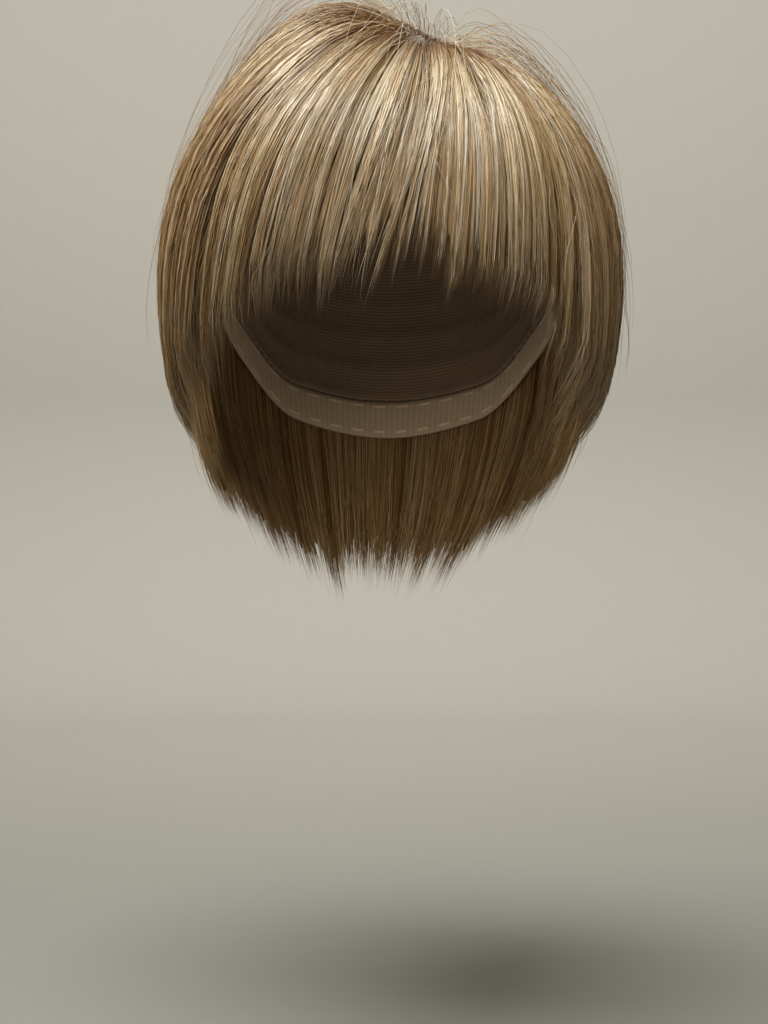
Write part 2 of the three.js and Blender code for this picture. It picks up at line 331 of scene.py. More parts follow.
class Socket:
    """A shader value that Python's operators can work on."""

    def __init__(self, shader: "Shader", socket: Any) -> None:
        """Keeps the shader and the output socket that holds the value."""
        self.shader = shader
        self.socket = socket

    def _maths(self, operation: str, *values: Any) -> "Socket":
        """A Math node with this operation on these values."""
        return self.shader.node("ShaderNodeMath", {"operation": operation}, dict(enumerate(values)))

    def __add__(self, other: Any) -> "Socket":
        """Sum."""
        return self._maths("ADD", self, other)

    __radd__ = __add__

    def __sub__(self, other: Any) -> "Socket":
        """Difference."""
        return self._maths("SUBTRACT", self, other)

    def __rsub__(self, other: Any) -> "Socket":
        """Difference with this value taken away."""
        return self._maths("SUBTRACT", other, self)

    def __mul__(self, other: Any) -> "Socket":
        """Product."""
        return self._maths("MULTIPLY", self, other)

    __rmul__ = __mul__

    def sine(self) -> "Socket":
        """Sine."""
        return self._maths("SINE", self)

    def absolute(self) -> "Socket":
        """Absolute value."""
        return self._maths("ABSOLUTE", self)

    def larger(self, other: Any) -> "Socket":
        """The larger of two values."""
        return self._maths("MAXIMUM", self, other)

    def over(self, limit: float, soft: float) -> "Socket":
        """A step from 0 to 1 at a limit, softened on both sides."""
        inputs = {"Value": self, "From Min": limit - soft, "From Max": limit + soft}
        return self.shader.node("ShaderNodeMapRange", {"interpolation_type": "SMOOTHSTEP"}, inputs)


class Shader:
    """The node tree of one material."""

    def __init__(self, name: str) -> None:
        """Starts a material with an empty tree.

        Args:
            name: The material's name.
        """
        self.material = bpy.data.materials.new(name)
        self.material.use_nodes = True
        self.tree = self.material.node_tree
        self.tree.nodes.clear()

    def add(self, kind: str, settings: dict[str, Any], inputs: dict[Any, Any]) -> bpy.types.Node:
        """Adds a node, sets it up and feeds its sockets.

        Args:
            kind: The node's type.
            settings: Its properties. A list under "stops" holds a ramp's positions and colours.
            inputs: Values or links, by socket name or number.

        Returns:
            The node.
        """
        made = self.tree.nodes.new(kind)
        for key, value in settings.items():
            if key == "stops":
                ramp = made.color_ramp
                while len(ramp.elements) < len(value):
                    ramp.elements.new(0.5)
                for element, (position, colour) in zip(ramp.elements, value):
                    element.position = position
                    element.color = (*colour, 1.0)
            else:
                setattr(made, key, value)
        for key, value in inputs.items():
            if isinstance(value, Socket):
                self.tree.links.new(value.socket, made.inputs[key])
            else:
                made.inputs[key].default_value = value
        return made

    def node(self, kind: str, settings: dict[str, Any], inputs: dict[Any, Any], output: Any = 0) -> Socket:
        """Adds a node and gives one of its outputs, by name or number, as a value to work on."""
        return Socket(self, self.add(kind, settings, inputs).outputs[output])

    def blend(self, share: Any, low: Any, high: Any, kind: str = "MIX") -> Socket:
        """Blends two colours by a share.

        Args:
            share: The share of the second colour, as a number or a link.
            low: The first colour or a link to it.
            high: The second colour or a link to it.
            kind: How the second colour acts on the first.

        Returns:
            The blended colour.
        """
        low, high = (side if isinstance(side, Socket) else (*side, 1.0) for side in (low, high))
        settings = {"data_type": "RGBA", "blend_type": kind}
        return self.node("ShaderNodeMix", settings, {0: share, 6: low, 7: high}, 2)

    def ramp(self, share: Socket, stops: Stops) -> Socket:
        """The colour at a share of a ramp's stops."""
        return self.node("ShaderNodeValToRGB", {"stops": stops}, {0: share}, "Color")

    def noise(self, cells: float, detail: float) -> Socket:
        """Noise over the piece's own coordinates, with so many cells for each metre."""
        places = self.node("ShaderNodeTexCoord", {}, {}, "Object")
        return self.node("ShaderNodeTexNoise", {}, {"Vector": places, "Scale": cells, "Detail": detail})

    def bump(self, height: Socket, strength: float, metres: float) -> Socket:
        """A normal that follows a height."""
        return self.node("ShaderNodeBump", {}, {"Strength": strength, "Distance": metres, "Height": height})

    def map_sides(self, name: str) -> tuple[Socket, Socket]:
        """Reads a piece's own UV map.

        Args:
            name: The map's name.

        Returns:
            Its coordinates across and along.
        """
        places = self.node("ShaderNodeUVMap", {"uv_map": name}, {})
        across, along = (self.node("ShaderNodeSeparateXYZ", {}, {0: places}, axis) for axis in "XY")
        return across, along

    def surface(self, constants: dict[str, Any], **varying: Socket) -> bpy.types.Material:
        """Ends the tree in a surface.

        Args:
            constants: Values set on the surface's own sockets.
            **varying: Links to Base_Color, Roughness or Normal.

        Returns:
            The finished material.
        """
        links = {key.replace("_", " "): value for key, value in varying.items()}
        skin = self.node("ShaderNodeBsdfPrincipled", {}, {**constants, **links})
        self.add("ShaderNodeOutputMaterial", {}, {"Surface": skin})
        return self.material


@dataclass(frozen=True)
class FibreFinish:
    """Blond fibre. Its map holds a strand's tone across and its length along.

    Each tone has a colour, of which only a part is left along a strand: darker roots, partly the hair's own
    and partly painted shade, and painted shade further down. Green and blue fade faster than red, so the
    painted shade is warmer.
    """

    name: str
    tones: Stops
    roots_and_shade: Sequence[tuple[float, float]]
    roughness: float = 0.42
    shine: float = 0.55
    pale_gloss: float = 0.12
    green_fade: float = 1.35
    blue_fade: float = 1.75

    def make(self) -> bpy.types.Material:
        """Builds the material: a ramp over the tone, times a shade that changes along the strand.

        Returns:
            The material.
        """
        shader = Shader(self.name)
        tone, along = shader.map_sides(STRAND_MAP)
        fades = (1.0, self.green_fade, self.blue_fade)
        # Darker roots, partly the hair's own and partly painted shade, and painted shade further down.
        shades = [(place, tuple(part**fade for fade in fades)) for place, part in self.roots_and_shade]
        shaded = shader.blend(1.0, shader.ramp(tone, self.tones), shader.ramp(along, shades), "MULTIPLY")
        gloss = self.roughness - tone * self.pale_gloss
        return shader.surface({"Specular IOR Level": self.shine}, Base_Color=shaded, Roughness=gloss)


UPPER_TONES = (
    (0.0, (0.078, 0.037, 0.013)),
    (0.22, (0.222, 0.125, 0.044)),
    (0.45, (0.425, 0.287, 0.136)),
    (0.7, (0.62, 0.535, 0.39)),
    (1.0, (0.83, 0.805, 0.72)),
)
# Darker than the upper tones: partly the under hair's own colour, partly painted shade under the upper hair.
UNDER_TONES = (
    (0.0, (0.078, 0.034, 0.011)),
    (0.22, (0.222, 0.113, 0.035)),
    (0.45, (0.41, 0.25, 0.105)),
    (1.0, (0.68, 0.5, 0.29)),
)
# Darker roots, partly the hair's own and partly painted shade, and painted shade lower down the strands.
UPPER_ROOTS_AND_SHADE = (
    (0.0, 0.14),
    (0.07, 0.22),
    (0.15, 0.42),
    (0.26, 1.0),
    (0.36, 0.92),
    (0.5, 0.6),
    (0.75, 0.67),
    (1.0, 0.82),
)
# Darker roots, partly the hair's own and partly painted shade, then a full-toned band that stands out
# as a painted highlight, and painted shade at the tips.
FRINGE_ROOTS_AND_SHADE = (
    (0.0, 0.14),
    (0.1, 0.2),
    (0.2, 0.36),
    (0.36, 1.0),
    (0.56, 1.0),
    (0.76, 0.84),
    (1.0, 0.82),
)
# Darker towards the roots.
UNDER_LENGTHS = ((0.0, 0.6), (0.3, 0.94), (1.0, 1.0))


@dataclass(frozen=True)
class MeshFinish:
    """Sheer knitted mesh of the cap, with its threads along the panel's own map.

    The counts are radians over the whole map, and each half turn of them is a thread.
    """

    name: str
    thread: Colour
    gap: Colour
    across_count: float
    along_count: float
    knots: float = 0.0
    thread_edge: float = 0.72
    thread_soft: float = 0.2
    knot_cells: float = 900.0
    knot_detail: float = 2.0
    knot_edge: float = 0.62
    knot_soft: float = 0.06
    knot_shade: float = 0.35
    relief: float = 0.5
    relief_metres: float = 0.0003
    roughness: float = 0.75
    sheen: float = 0.15

    def make(self) -> bpy.types.Material:
        """Builds the material: two sets of crossing threads over darker gaps, with dark knots.

        Returns:
            The material.
        """
        shader = Shader(self.name)
        across, along = shader.map_sides(PANEL_MAP)
        lines = (across * self.across_count).sine().absolute()
        rows = (along * self.along_count).sine().absolute()
        weave = lines.larger(rows).over(self.thread_edge, self.thread_soft)
        spots = shader.noise(self.knot_cells, self.knot_detail).over(self.knot_edge, self.knot_soft)
        cloth = shader.blend(weave, self.gap, self.thread)
        knotted = shader.blend(spots * self.knots, cloth, dimmed(self.gap, self.knot_shade))
        normal = shader.bump(weave, self.relief, self.relief_metres)
        constants = {"Roughness": self.roughness, "Sheen Weight": self.sheen}
        return shader.surface(constants, Base_Color=knotted, Normal=normal)


@dataclass(frozen=True)
class BandFinish:
    """Soft ribbed band, with fine ribs across it and a stitch line near each edge.

    The ribs are counted in radians round the whole band, a full turn for each. The seam's place, width
    and softness are shares of the way across the band.
    """

    name: str
    colour: Colour
    stitch: Colour
    ribs: float = 1100.0
    stitch_share: float = 0.25
    stitch_soft: float = 0.3
    seam_place: float = 0.36
    seam_half_width: float = 0.03
    seam_soft: float = 0.012
    mottle_cells: float = 600.0
    mottle_detail: float = 4.0
    mottle_share: float = 0.35
    rib_share: float = 0.45
    rib_shade: float = 0.72
    rib_relief: float = 0.6
    relief: float = 0.45
    relief_metres: float = 0.0004
    roughness: float = 0.85
    sheen: float = 0.25

    def make(self) -> bpy.types.Material:
        """Builds the material: ribs, mottled cloth and two stitched lines.

        Returns:
            The material.
        """
        shader = Shader(self.name)
        across, along = shader.map_sides(PANEL_MAP)
        ribs = (across * self.ribs).sine() * 0.5 + 0.5
        from_seam = ((along - 0.5).absolute() - self.seam_place).absolute()
        seam = 1 - from_seam.over(self.seam_half_width, self.seam_soft)
        dashes = (across * (self.ribs * self.stitch_share)).sine().over(0.0, self.stitch_soft) * seam
        mottle = shader.noise(self.mottle_cells, self.mottle_detail)
        paleness = ribs * self.rib_share + mottle * self.mottle_share
        cloth = shader.blend(paleness, dimmed(self.colour, self.rib_shade), self.colour)
        sewn = shader.blend(dashes, cloth, self.stitch)
        normal = shader.bump(ribs * self.rib_relief + dashes, self.relief, self.relief_metres)
        constants = {"Roughness": self.roughness, "Sheen Weight": self.sheen}
        return shader.surface(constants, Base_Color=sewn, Normal=normal)


@dataclass(frozen=True)
class PlainFinish:
    """Matt seamless paper for the floor and backdrop."""

    name: str
    colour: Colour
    grain_cells: float = 60.0
    grain_detail: float = 5.0
    grain_dark: float = 0.985
    grain_pale: float = 1.02
    roughness: float = 0.9
    shine: float = 0.2

    def make(self) -> bpy.types.Material:
        """Builds the material, with a faint grain.

        Returns:
            The material.
        """
        shader = Shader(self.name)
        grain = shader.noise(self.grain_cells, self.grain_detail)
        base = shader.blend(grain, dimmed(self.colour, self.grain_dark), dimmed(self.colour, self.grain_pale))
        constants = {"Roughness": self.roughness, "Specular IOR Level": self.shine}
        return shader.surface(constants, Base_Color=base)


@dataclass
class MeshParts:
    """Points, groups of faces with the same number of corners, and the corners' maps."""

    points: Array
    faces: list[Array]
    places: list[Array]

    @staticmethod
    def joined(parts: list["MeshParts"]) -> "MeshParts":
        """Joins several parts, with each one's faces counted on from the points before it.

        Args:
            parts: The parts to join.

        Returns:
            One part with all their faces.
        """
        starts = np.cumsum([0] + [len(part.points) for part in parts])
        faces = [group + start for part, start in zip(parts, starts) for group in part.faces]
        places = [group for part in parts for group in part.places]
        return MeshParts(np.concatenate([part.points for part in parts]), faces, places)

    def to_object(self, name: str, material: bpy.types.Material, map_name: str) -> bpy.types.Object:
        """Makes the mesh object.

        Args:
            name: The piece's name.
            material: Its finish.
            map_name: The name of its UV map.

        Returns:
            The object, in the scene and at the origin.
        """
        corners = np.concatenate([group.ravel() for group in self.faces]).astype(np.int32)
        sizes = np.concatenate([np.full(len(group), group.shape[1]) for group in self.faces])
        starts = np.concatenate([[0], np.cumsum(sizes)[:-1]]).astype(np.int32)
        mesh = bpy.data.meshes.new(name)
        mesh.vertices.add(len(self.points))
        mesh.vertices.foreach_set("co", (self.points * MM).astype(np.float32).ravel())
        mesh.loops.add(len(corners))
        mesh.loops.foreach_set("vertex_index", corners)
        mesh.polygons.add(len(sizes))
        mesh.polygons.foreach_set("loop_start", starts)
        mesh.polygons.foreach_set("use_smooth", np.ones(len(sizes), dtype=bool))
        layer = mesh.uv_layers.new(name=map_name)
        flat = np.concatenate([group.reshape(-1, 2) for group in self.places]).astype(np.float32)
        layer.data.foreach_set("uv", flat.ravel())
        mesh.materials.append(material)
        mesh.update(calc_edges=True)
        mesh.validate()
        made = bpy.data.objects.new(name, mesh)
        bpy.context.scene.collection.objects.link(made)
        return made


def corner_map(*corners: tuple[Value, Value]) -> Array:
    """The map of some faces, from the two coordinates of each of their corners: faces by corners by 2."""
    return np.stack([np.stack(np.broadcast_arrays(*corner), -1) for corner in corners], 1)


HAIR_MIDDLE = np.array([0.0, 5.0, -95.0])
TUBE_SIDES = 3
TUBE_TURNS = np.radians([90.0, 210.0, 330.0])
TIP_THINNING = 0.6
# Parts of the map: where tones start and how far they reach, and the widths of a tube's side and of its end.
TONE_START, TONE_SPAN = 0.01, 0.97
SIDE_SPAN = 0.004
END_SPAN = 0.01


def tube_sides(paths: Array) -> tuple[Array, Array]:
    """The directions out of and beside each path.

    Outward runs from the hair's middle, less its part along the path. Aside is square to both.

    Args:
        paths: Points of each strand from root to tip, shaped strands by points by 3.

    Returns:
        Unit directions outward and aside, shaped like the paths.
    """
    tangent = np.gradient(paths, axis=1)
    tangent /= np.maximum(np.linalg.norm(tangent, axis=-1, keepdims=True), TINY)
    outward = paths - HAIR_MIDDLE
    outward -= (outward * tangent).sum(-1, keepdims=True) * tangent
    outward /= np.maximum(np.linalg.norm(outward, axis=-1, keepdims=True), TINY)
    return outward, np.cross(tangent, outward)


def strand_tubes(paths: Array, along: Array, width: Array, tone: Array) -> MeshParts:
    """Closed three-sided tubes along paths, each thinning to a point at its tip.

    A ring's corners lie at thirds of a turn round the path: the centre plus a radius times the cosine of
    the turn to the side and the sine of it outward. The radius falls with the cube of the length.

    Args:
        paths: Points of each strand from root to tip, shaped strands by points by 3.
        along: The points' shares of each strand's length, shaped strands by points.
        width: Each strand's width at its root.
        tone: Each strand's tone, from 0, dark, to 1, pale.

    Returns:
        The tubes, with tone across their map and length along it.
    """
    count, points, _ = paths.shape
    rings = points - 1
    outward, aside = tube_sides(paths)
    radius = 0.5 * width[:, None] * (1 - TIP_THINNING * along[:, :rings] ** 3)
    beside = np.cos(TUBE_TURNS)[:, None] * aside[:, :rings, None, :]
    spokes = beside + np.sin(TUBE_TURNS)[:, None] * outward[:, :rings, None, :]
    body = paths[:, :rings, None, :] + radius[:, :, None, None] * spokes
    corners = np.concatenate([body.reshape(count, -1, 3), paths[:, -1:, :]], axis=1)
    stride = rings * TUBE_SIDES + 1

    ring, side = np.meshgrid(np.arange(rings - 1), np.arange(TUBE_SIDES), indexing="ij")
    low, high, step = ring * TUBE_SIDES, (ring + 1) * TUBE_SIDES, (side + 1) % TUBE_SIDES
    quad = np.stack([low + side, high + side, high + step, low + step], -1).reshape(-1, 4)
    sides = np.arange(TUBE_SIDES)
    last = (rings - 1) * TUBE_SIDES
    tip = np.stack([last + sides, np.full(TUBE_SIDES, stride - 1), last + (sides + 1) % TUBE_SIDES], -1)
    starts = (np.arange(count) * stride)[:, None, None]
    quads = (quad + starts).reshape(-1, 4)
    ends = (np.concatenate([tip, sides[None]]) + starts).reshape(-1, 3)

    across = (TONE_START + TONE_SPAN * tone)[:, None, None]
    quad_u = across + SIDE_SPAN * np.stack([side, side, side + 1, side + 1], -1).reshape(-1, 4)
    quad_v = along[:, np.stack([ring, ring + 1, ring + 1, ring], -1).reshape(-1, 4)]
    end_u = across + SIDE_SPAN * np.array([[0, 0.5, 1], [1, 1.5, 2], [2, 2.5, 3], [0, 1, 2]])
    near_tip, one, zero = along[:, rings - 1], np.ones(count), np.zeros(count)
    tip_v = np.stack([near_tip, one, near_tip], -1)
    root_v = np.stack([zero, zero + END_SPAN, zero], -1)
    end_v = np.stack([tip_v] * TUBE_SIDES + [root_v], 1)
    quad_map = np.stack([quad_u, quad_v], -1).reshape(-1, 4, 2)
    end_map = np.stack([end_u, end_v], -1).reshape(-1, 3, 2)
    return MeshParts(corners.reshape(-1, 3), [quads, ends], [quad_map, end_map])


STRIP_SPAN = 0.008
BORDER_SPAN = 0.006


def closed_wall(outer: Array, inner: Array, wraps: bool, tone: Array | None = None) -> MeshParts:
    """A closed wall between two grids of points, rows down and columns across.

    Args:
        outer: The outside's points, rows by columns by 3.
        inner: The inside's points, alike.
        wraps: Whether the last column joins the first.
        tone: A tone for each strip between columns. Without it the map runs from 0 to 1 over the grid.

    Returns:
        The wall's points, faces and map. The upper rim is the third group of faces.
    """
    rows, columns, _ = outer.shape
    strips = columns if wraps else columns - 1
    total = rows * columns
    row, strip = np.divmod(np.arange((rows - 1) * strips), strips)
    near, far = strip, (strip + 1) % columns
    here, below = row * columns, (row + 1) * columns
    outside = np.stack([here + near, below + near, below + far, here + far], -1)
    inside = outside[:, [0, 3, 2, 1]] + total
    one, two = np.arange(strips), (np.arange(strips) + 1) % columns
    bottom = (rows - 1) * columns
    top_rim = np.stack([one, two, two + total, one + total], -1)
    low_rim = np.stack([one, one + total, two + total, two], -1) + bottom
    faces = [outside, inside, top_rim, low_rim]

    u0, u1 = (one / strips, (one + 1) / strips) if tone is None else (tone, tone + STRIP_SPAN)
    v0, v1 = row / (rows - 1), (row + 1) / (rows - 1)
    left, right = u0[strip], u1[strip]
    face_map = corner_map((left, v0), (left, v1), (right, v1), (right, v0))
    rim_map = corner_map((u0, 0.0), (u1, 0.0), (u1, END_SPAN), (u0, END_SPAN))
    places = [face_map, face_map[:, [0, 3, 2, 1]], rim_map, rim_map * [1, -1] + [0, 1]]

    if not wraps:
        edge = np.arange(rows - 1)
        w0, w1 = edge / (rows - 1), (edge + 1) / (rows - 1)
        for column, border, order in ((0, u0[0], [0, 3, 2, 1]), (columns - 1, u0[-1], [0, 1, 2, 3])):
            a, b = edge * columns + column, (edge + 1) * columns + column
            faces.append(np.stack([a, b, b + total, a + total], -1)[:, order])
            beside = border + BORDER_SPAN
            places.append(corner_map((border, w0), (border, w1), (beside, w1), (beside, w0))[:, order])
    return MeshParts(np.concatenate([outer.reshape(-1, 3), inner.reshape(-1, 3)]), faces, places)


@dataclass
class Locks:
    """How a section of hair is parted into locks, and how their tips end.

    Start and stop are azimuths in degrees, notch and jitter are heights in millimetres, and unevenness is
    a part of a lock's width.
    """

    start: float
    stop: float
    count: int
    notch: float
    jitter: float = 7.0
    unevenness: float = 0.36
    tip_power: float = 1.4

    @property
    def edges(self) -> Array:
        """The locks' borders, uneven except at both ends of the section.

        Returns:
            The borders as shares of the section.
        """
        number = np.arange(self.count + 1)
        inside = (number > 0) & (number < self.count)
        return (number + inside * self.unevenness * LOCK_EDGES.centred(number + self.stop)) / self.count

    def across(self, share: Array) -> tuple[Array, Array, Array]:
        """Finds the lock at a share of the section.

        Args:
            share: Shares of the section.

        Returns:
            The lock's number, the place across it from -1 to 1, and the share at its middle.
        """
        edges = self.edges
        lock = np.clip(np.searchsorted(edges, share, side="right") - 1, 0, self.count - 1)
        low, high = edges[lock], edges[lock + 1]
        return lock, np.clip(2 * (share - low) / (high - low) - 1, -1, 1), (low + high) / 2

    def azimuth(self, share: Array) -> Array:
        """The azimuth in radians at a share of the section."""
        return np.radians(mix(self.start, self.stop, share))

    def tip_height(self, share: Array, level: Array, notch_share: float) -> Array:
        """The height where hair ends, which rises by a power from a lock's middle to its borders.

        Args:
            share: Shares of the section.
            level: The section's level below the origin there.
            notch_share: How much of the notch between locks is used.

        Returns:
            Heights in millimetres.
        """
        lock, across, _ = self.across(share)
        away = np.abs(across)
        jitter = self.jitter * (2 * LOCK_TIPS.at(lock) - 1)
        return -level + notch_share * self.notch * away**self.tip_power - jitter * (1 - away)


class Layer(Enum):
    """Which layer a section of hair belongs to. The values are the record's slots."""

    UPPER = "upper_hair"
    FRINGE = "fringe_hair"
    UNDER = "under_hair"


class Comb(Enum):
    """How strands lie: on top, beneath, hanging, or straying from wisps. The values count their points."""

    OUTER = 14
    INNER = 6
    HANGING = 8
    STRAY = 15


@dataclass(frozen=True)
class Parting:
    """A gap combed between wisps: its azimuth in degrees, its stretch along the hair and its half width."""

    azimuth: float
    start: float
    stop: float
    gap: float
    reach: float = 6.0
    slant: float = 0.0
    soft_edge: float = 0.5

    def push(self, azimuth: Array, along: Array, spread: Array) -> Array:
        """How far hair is pushed aside: away from the line, fading with a bell-shaped curve.

        Args:
            azimuth: Each strand's own azimuth in radians.
            along: Shares of the way from the whorl to the tips, strands by points.
            spread: Millimetres across for each radian of azimuth, alike.

        Returns:
            Distances in millimetres, shaped like along.
        """
        middle, half = (self.start + self.stop) / 2, (self.stop - self.start) / 2
        away = (azimuth - math.radians(self.azimuth))[:, None] * spread
        window = np.exp(-(((along - middle) / half) ** 4))
        lean = math.radians(self.slant) * (along - middle) * spread
        pushed = self.gap * np.tanh(away / self.soft_edge) + lean
        return pushed * np.exp(-((away / self.reach) ** 2)) * window


# Added to a section's seed, so that each kind of strand and each shared pattern has its own random numbers.
COMB_SEED_STEP = 100
MARK_SEED = 7
FLICK_SEED = 8
CROSSING_SEED = 9
BACKING_SEED = 50


@dataclass(frozen=True)
class BackingSizes:
    """The inner body's grid, and its two faces' shares of the hair's depth at the roots and the tips."""

    strips_per_lock: int
    rows: int
    first: float
    outer_face: Window
    inner_face: Window
    border: float = 0.004
    ragged: float = 0.1
    tone_spread: float = 0.06
    tone_bounds: Window = (0.02, 0.96)

    def grid(self, locks: int, end: float) -> tuple[Array, Array]:
        """The body's grid, with a ragged lower edge.

        Args:
            locks: How many locks the section has.
            end: The share of the hair's length where the body ends.

        Returns:
            Shares across the section and along the hair, rows by columns.
        """
        columns = locks * self.strips_per_lock + 1
        share = np.linspace(self.border, 1 - self.border, columns)
        last = end + self.ragged * BACKING_ENDS.centred(np.arange(columns))
        along = mix(self.first, last, np.linspace(0, 1, self.rows)[:, None])
        return np.broadcast_to(share, along.shape), along

    def tones(self, seed: int, tone: float, strips: int) -> Array:
        """A tone for each strip of the body, round a middle tone."""
        drawn = np.random.default_rng(seed + BACKING_SEED).normal(tone, self.tone_spread, strips)
        return np.clip(drawn, *self.tone_bounds)


@dataclass(frozen=True)
class WispHabits:
    """How combed strands gather in wisps and lie over each other.

    Wisp sizes are in a wisp's width, the roots' angles and the shortest run in radians, cuts in shares of a
    strand's length, levels in shares of the hair's depth, and sway and least spread in millimetres. A pair
    is a range, or the stretch of a strand over which something grows.
    """

    fine_tips: int = 4
    middle_scatter: float = 0.8
    reach: float = 0.95
    root_spread: float = 0.75
    fine_step: float = 0.24
    tip_noise: float = 0.1
    hold: Window = (0.7, 1.1)
    middle_bounds: Window = (0.004, 0.996)
    root_bounds: Window = (0.002, 0.998)
    tip_bounds: Window = (0.001, 0.999)
    drift: Window = (0.2, 1.0)
    near_share: float = 0.95
    near_share_beneath: float = 0.4
    root_gap: float = 0.004
    root_ring: float = 0.13
    root_power: float = 1.3
    far_start: float = 0.1
    shortest: float = 0.35
    cut_middle: float = 0.6
    wisp_cut: float = 0.09
    fine_cut: float = 0.06
    tip_regain: float = 0.7
    longest: float = 0.13
    rank_drop: float = 0.16
    beneath_drop: float = 0.17
    far_level: float = 0.8
    far_drop: float = 0.6
    wisp_level: float = 0.1
    ridge_level: float = 0.03
    level_bounds: Window = (0.12, 1.0)
    lens_rise: float = 0.055
    lens_sink: float = 0.03
    tuck_start: float = 0.97
    tuck: float = 0.5
    root_flat: float = 0.9
    root_rise: float = 0.04
    far_rise: Window = (-0.06, 0.3)
    least_depth: float = 0.01
    unparted: float = 0.12
    least_sine: float = 0.05
    least_spread: float = 12.0
    slow_sway: float = 1.5
    slow_pace: float = 2.6
    quick_sway: Window = (0.05, 0.4)
    quick_pace: Window = (2.0, 6.0)
    sway_rise: Window = (0.02, 0.7)


@dataclass(frozen=True)
class StrayHabits:
    """How strays leave their wisps. Loose ones lie anywhere, and the others rise from the whorl.

    Lengths are shares of the hair's length and lifts shares of its depth. Drift, sway, stand and ceiling are
    in millimetres. A rise or a fall is the stretch of a strand where it happens.
    """

    hold: float = 0.2
    loose_share: float = 0.6
    loose_start: Window = (0.1, 0.7)
    loose_length: Window = (0.18, 0.4)
    rooted_length: Window = (0.35, 1.0)
    arch: float = 0.55
    arch_rise: Window = (0.0, 0.25)
    arch_fall: Window = (0.25, 0.95)
    loose_lift: float = 0.34
    rooted_lift: float = 0.1
    lift_rise: Window = (0.1, 0.9)
    drift: float = 11.0
    drift_rise: Window = (0.0, 1.0)
    stand: float = 15.0
    stand_power: float = 2.2
    stand_rise: Window = (-0.02, 0.2)
    stand_fall: Window = (0.2, 0.75)
    ceiling: float = 38.0
    sway: Window = (1.0, 6.0)
    thinness: float = 0.6
    root_shade: float = 0.3


@dataclass(frozen=True)
class ToneHabits:
    """How tones differ from a section's own: by wisp, by ridge, and in single dark or pale strands."""

    dark_below: float = 0.2
    dark_streak: float = -0.13
    pale_above: float = 0.78
    pale_streak: float = 0.2
    own_spread: float = 0.06
    wisp_spread: float = 0.26
    # Painted light and shade: how much paler the ridge's crests are, and how much darker its troughs.
    ridge: float = 0.1
    edge_start: float = 0.55


WISPS = WispHabits()
STRAYS = StrayHabits()
TONES = ToneHabits()
UPPER_BACKING = BackingSizes(11, 14, 0.03, (0.74, 0.56), (0.02, 0.46))
UNDER_BACKING = BackingSizes(18, 12, 0.02, (0.9, 0.55), (0.05, 0.4))
# Two waves over the wisps: each one's share, its pace in radians for each wisp, and its phase in seeds.
RIDGE_WAVES = ((0.6, 1.35, 1.0), (0.4, 0.43, 2.0))
# The angle from the whorl at which a section's azimuth round the wig is read.
SIDE_ANGLE = math.radians(95)


@dataclass
class WispPlan:
    """Each strand's wisp and fine tip, its wisp's middle, and the shares of its root and tip."""

    wisp: Array
    fine: Array
    middle: Array
    root: Array
    tip: Array


@dataclass
class StrandRun:
    """Each strand's first and last angle, the section's end there, its rank, and its kind of root.

    Near strands are rooted in the ring round the whorl, and loose ones aren't rooted.
    """

    start: Array
    last: Array
    end: Array
    rank: Array
    near: Array
    loose: Array


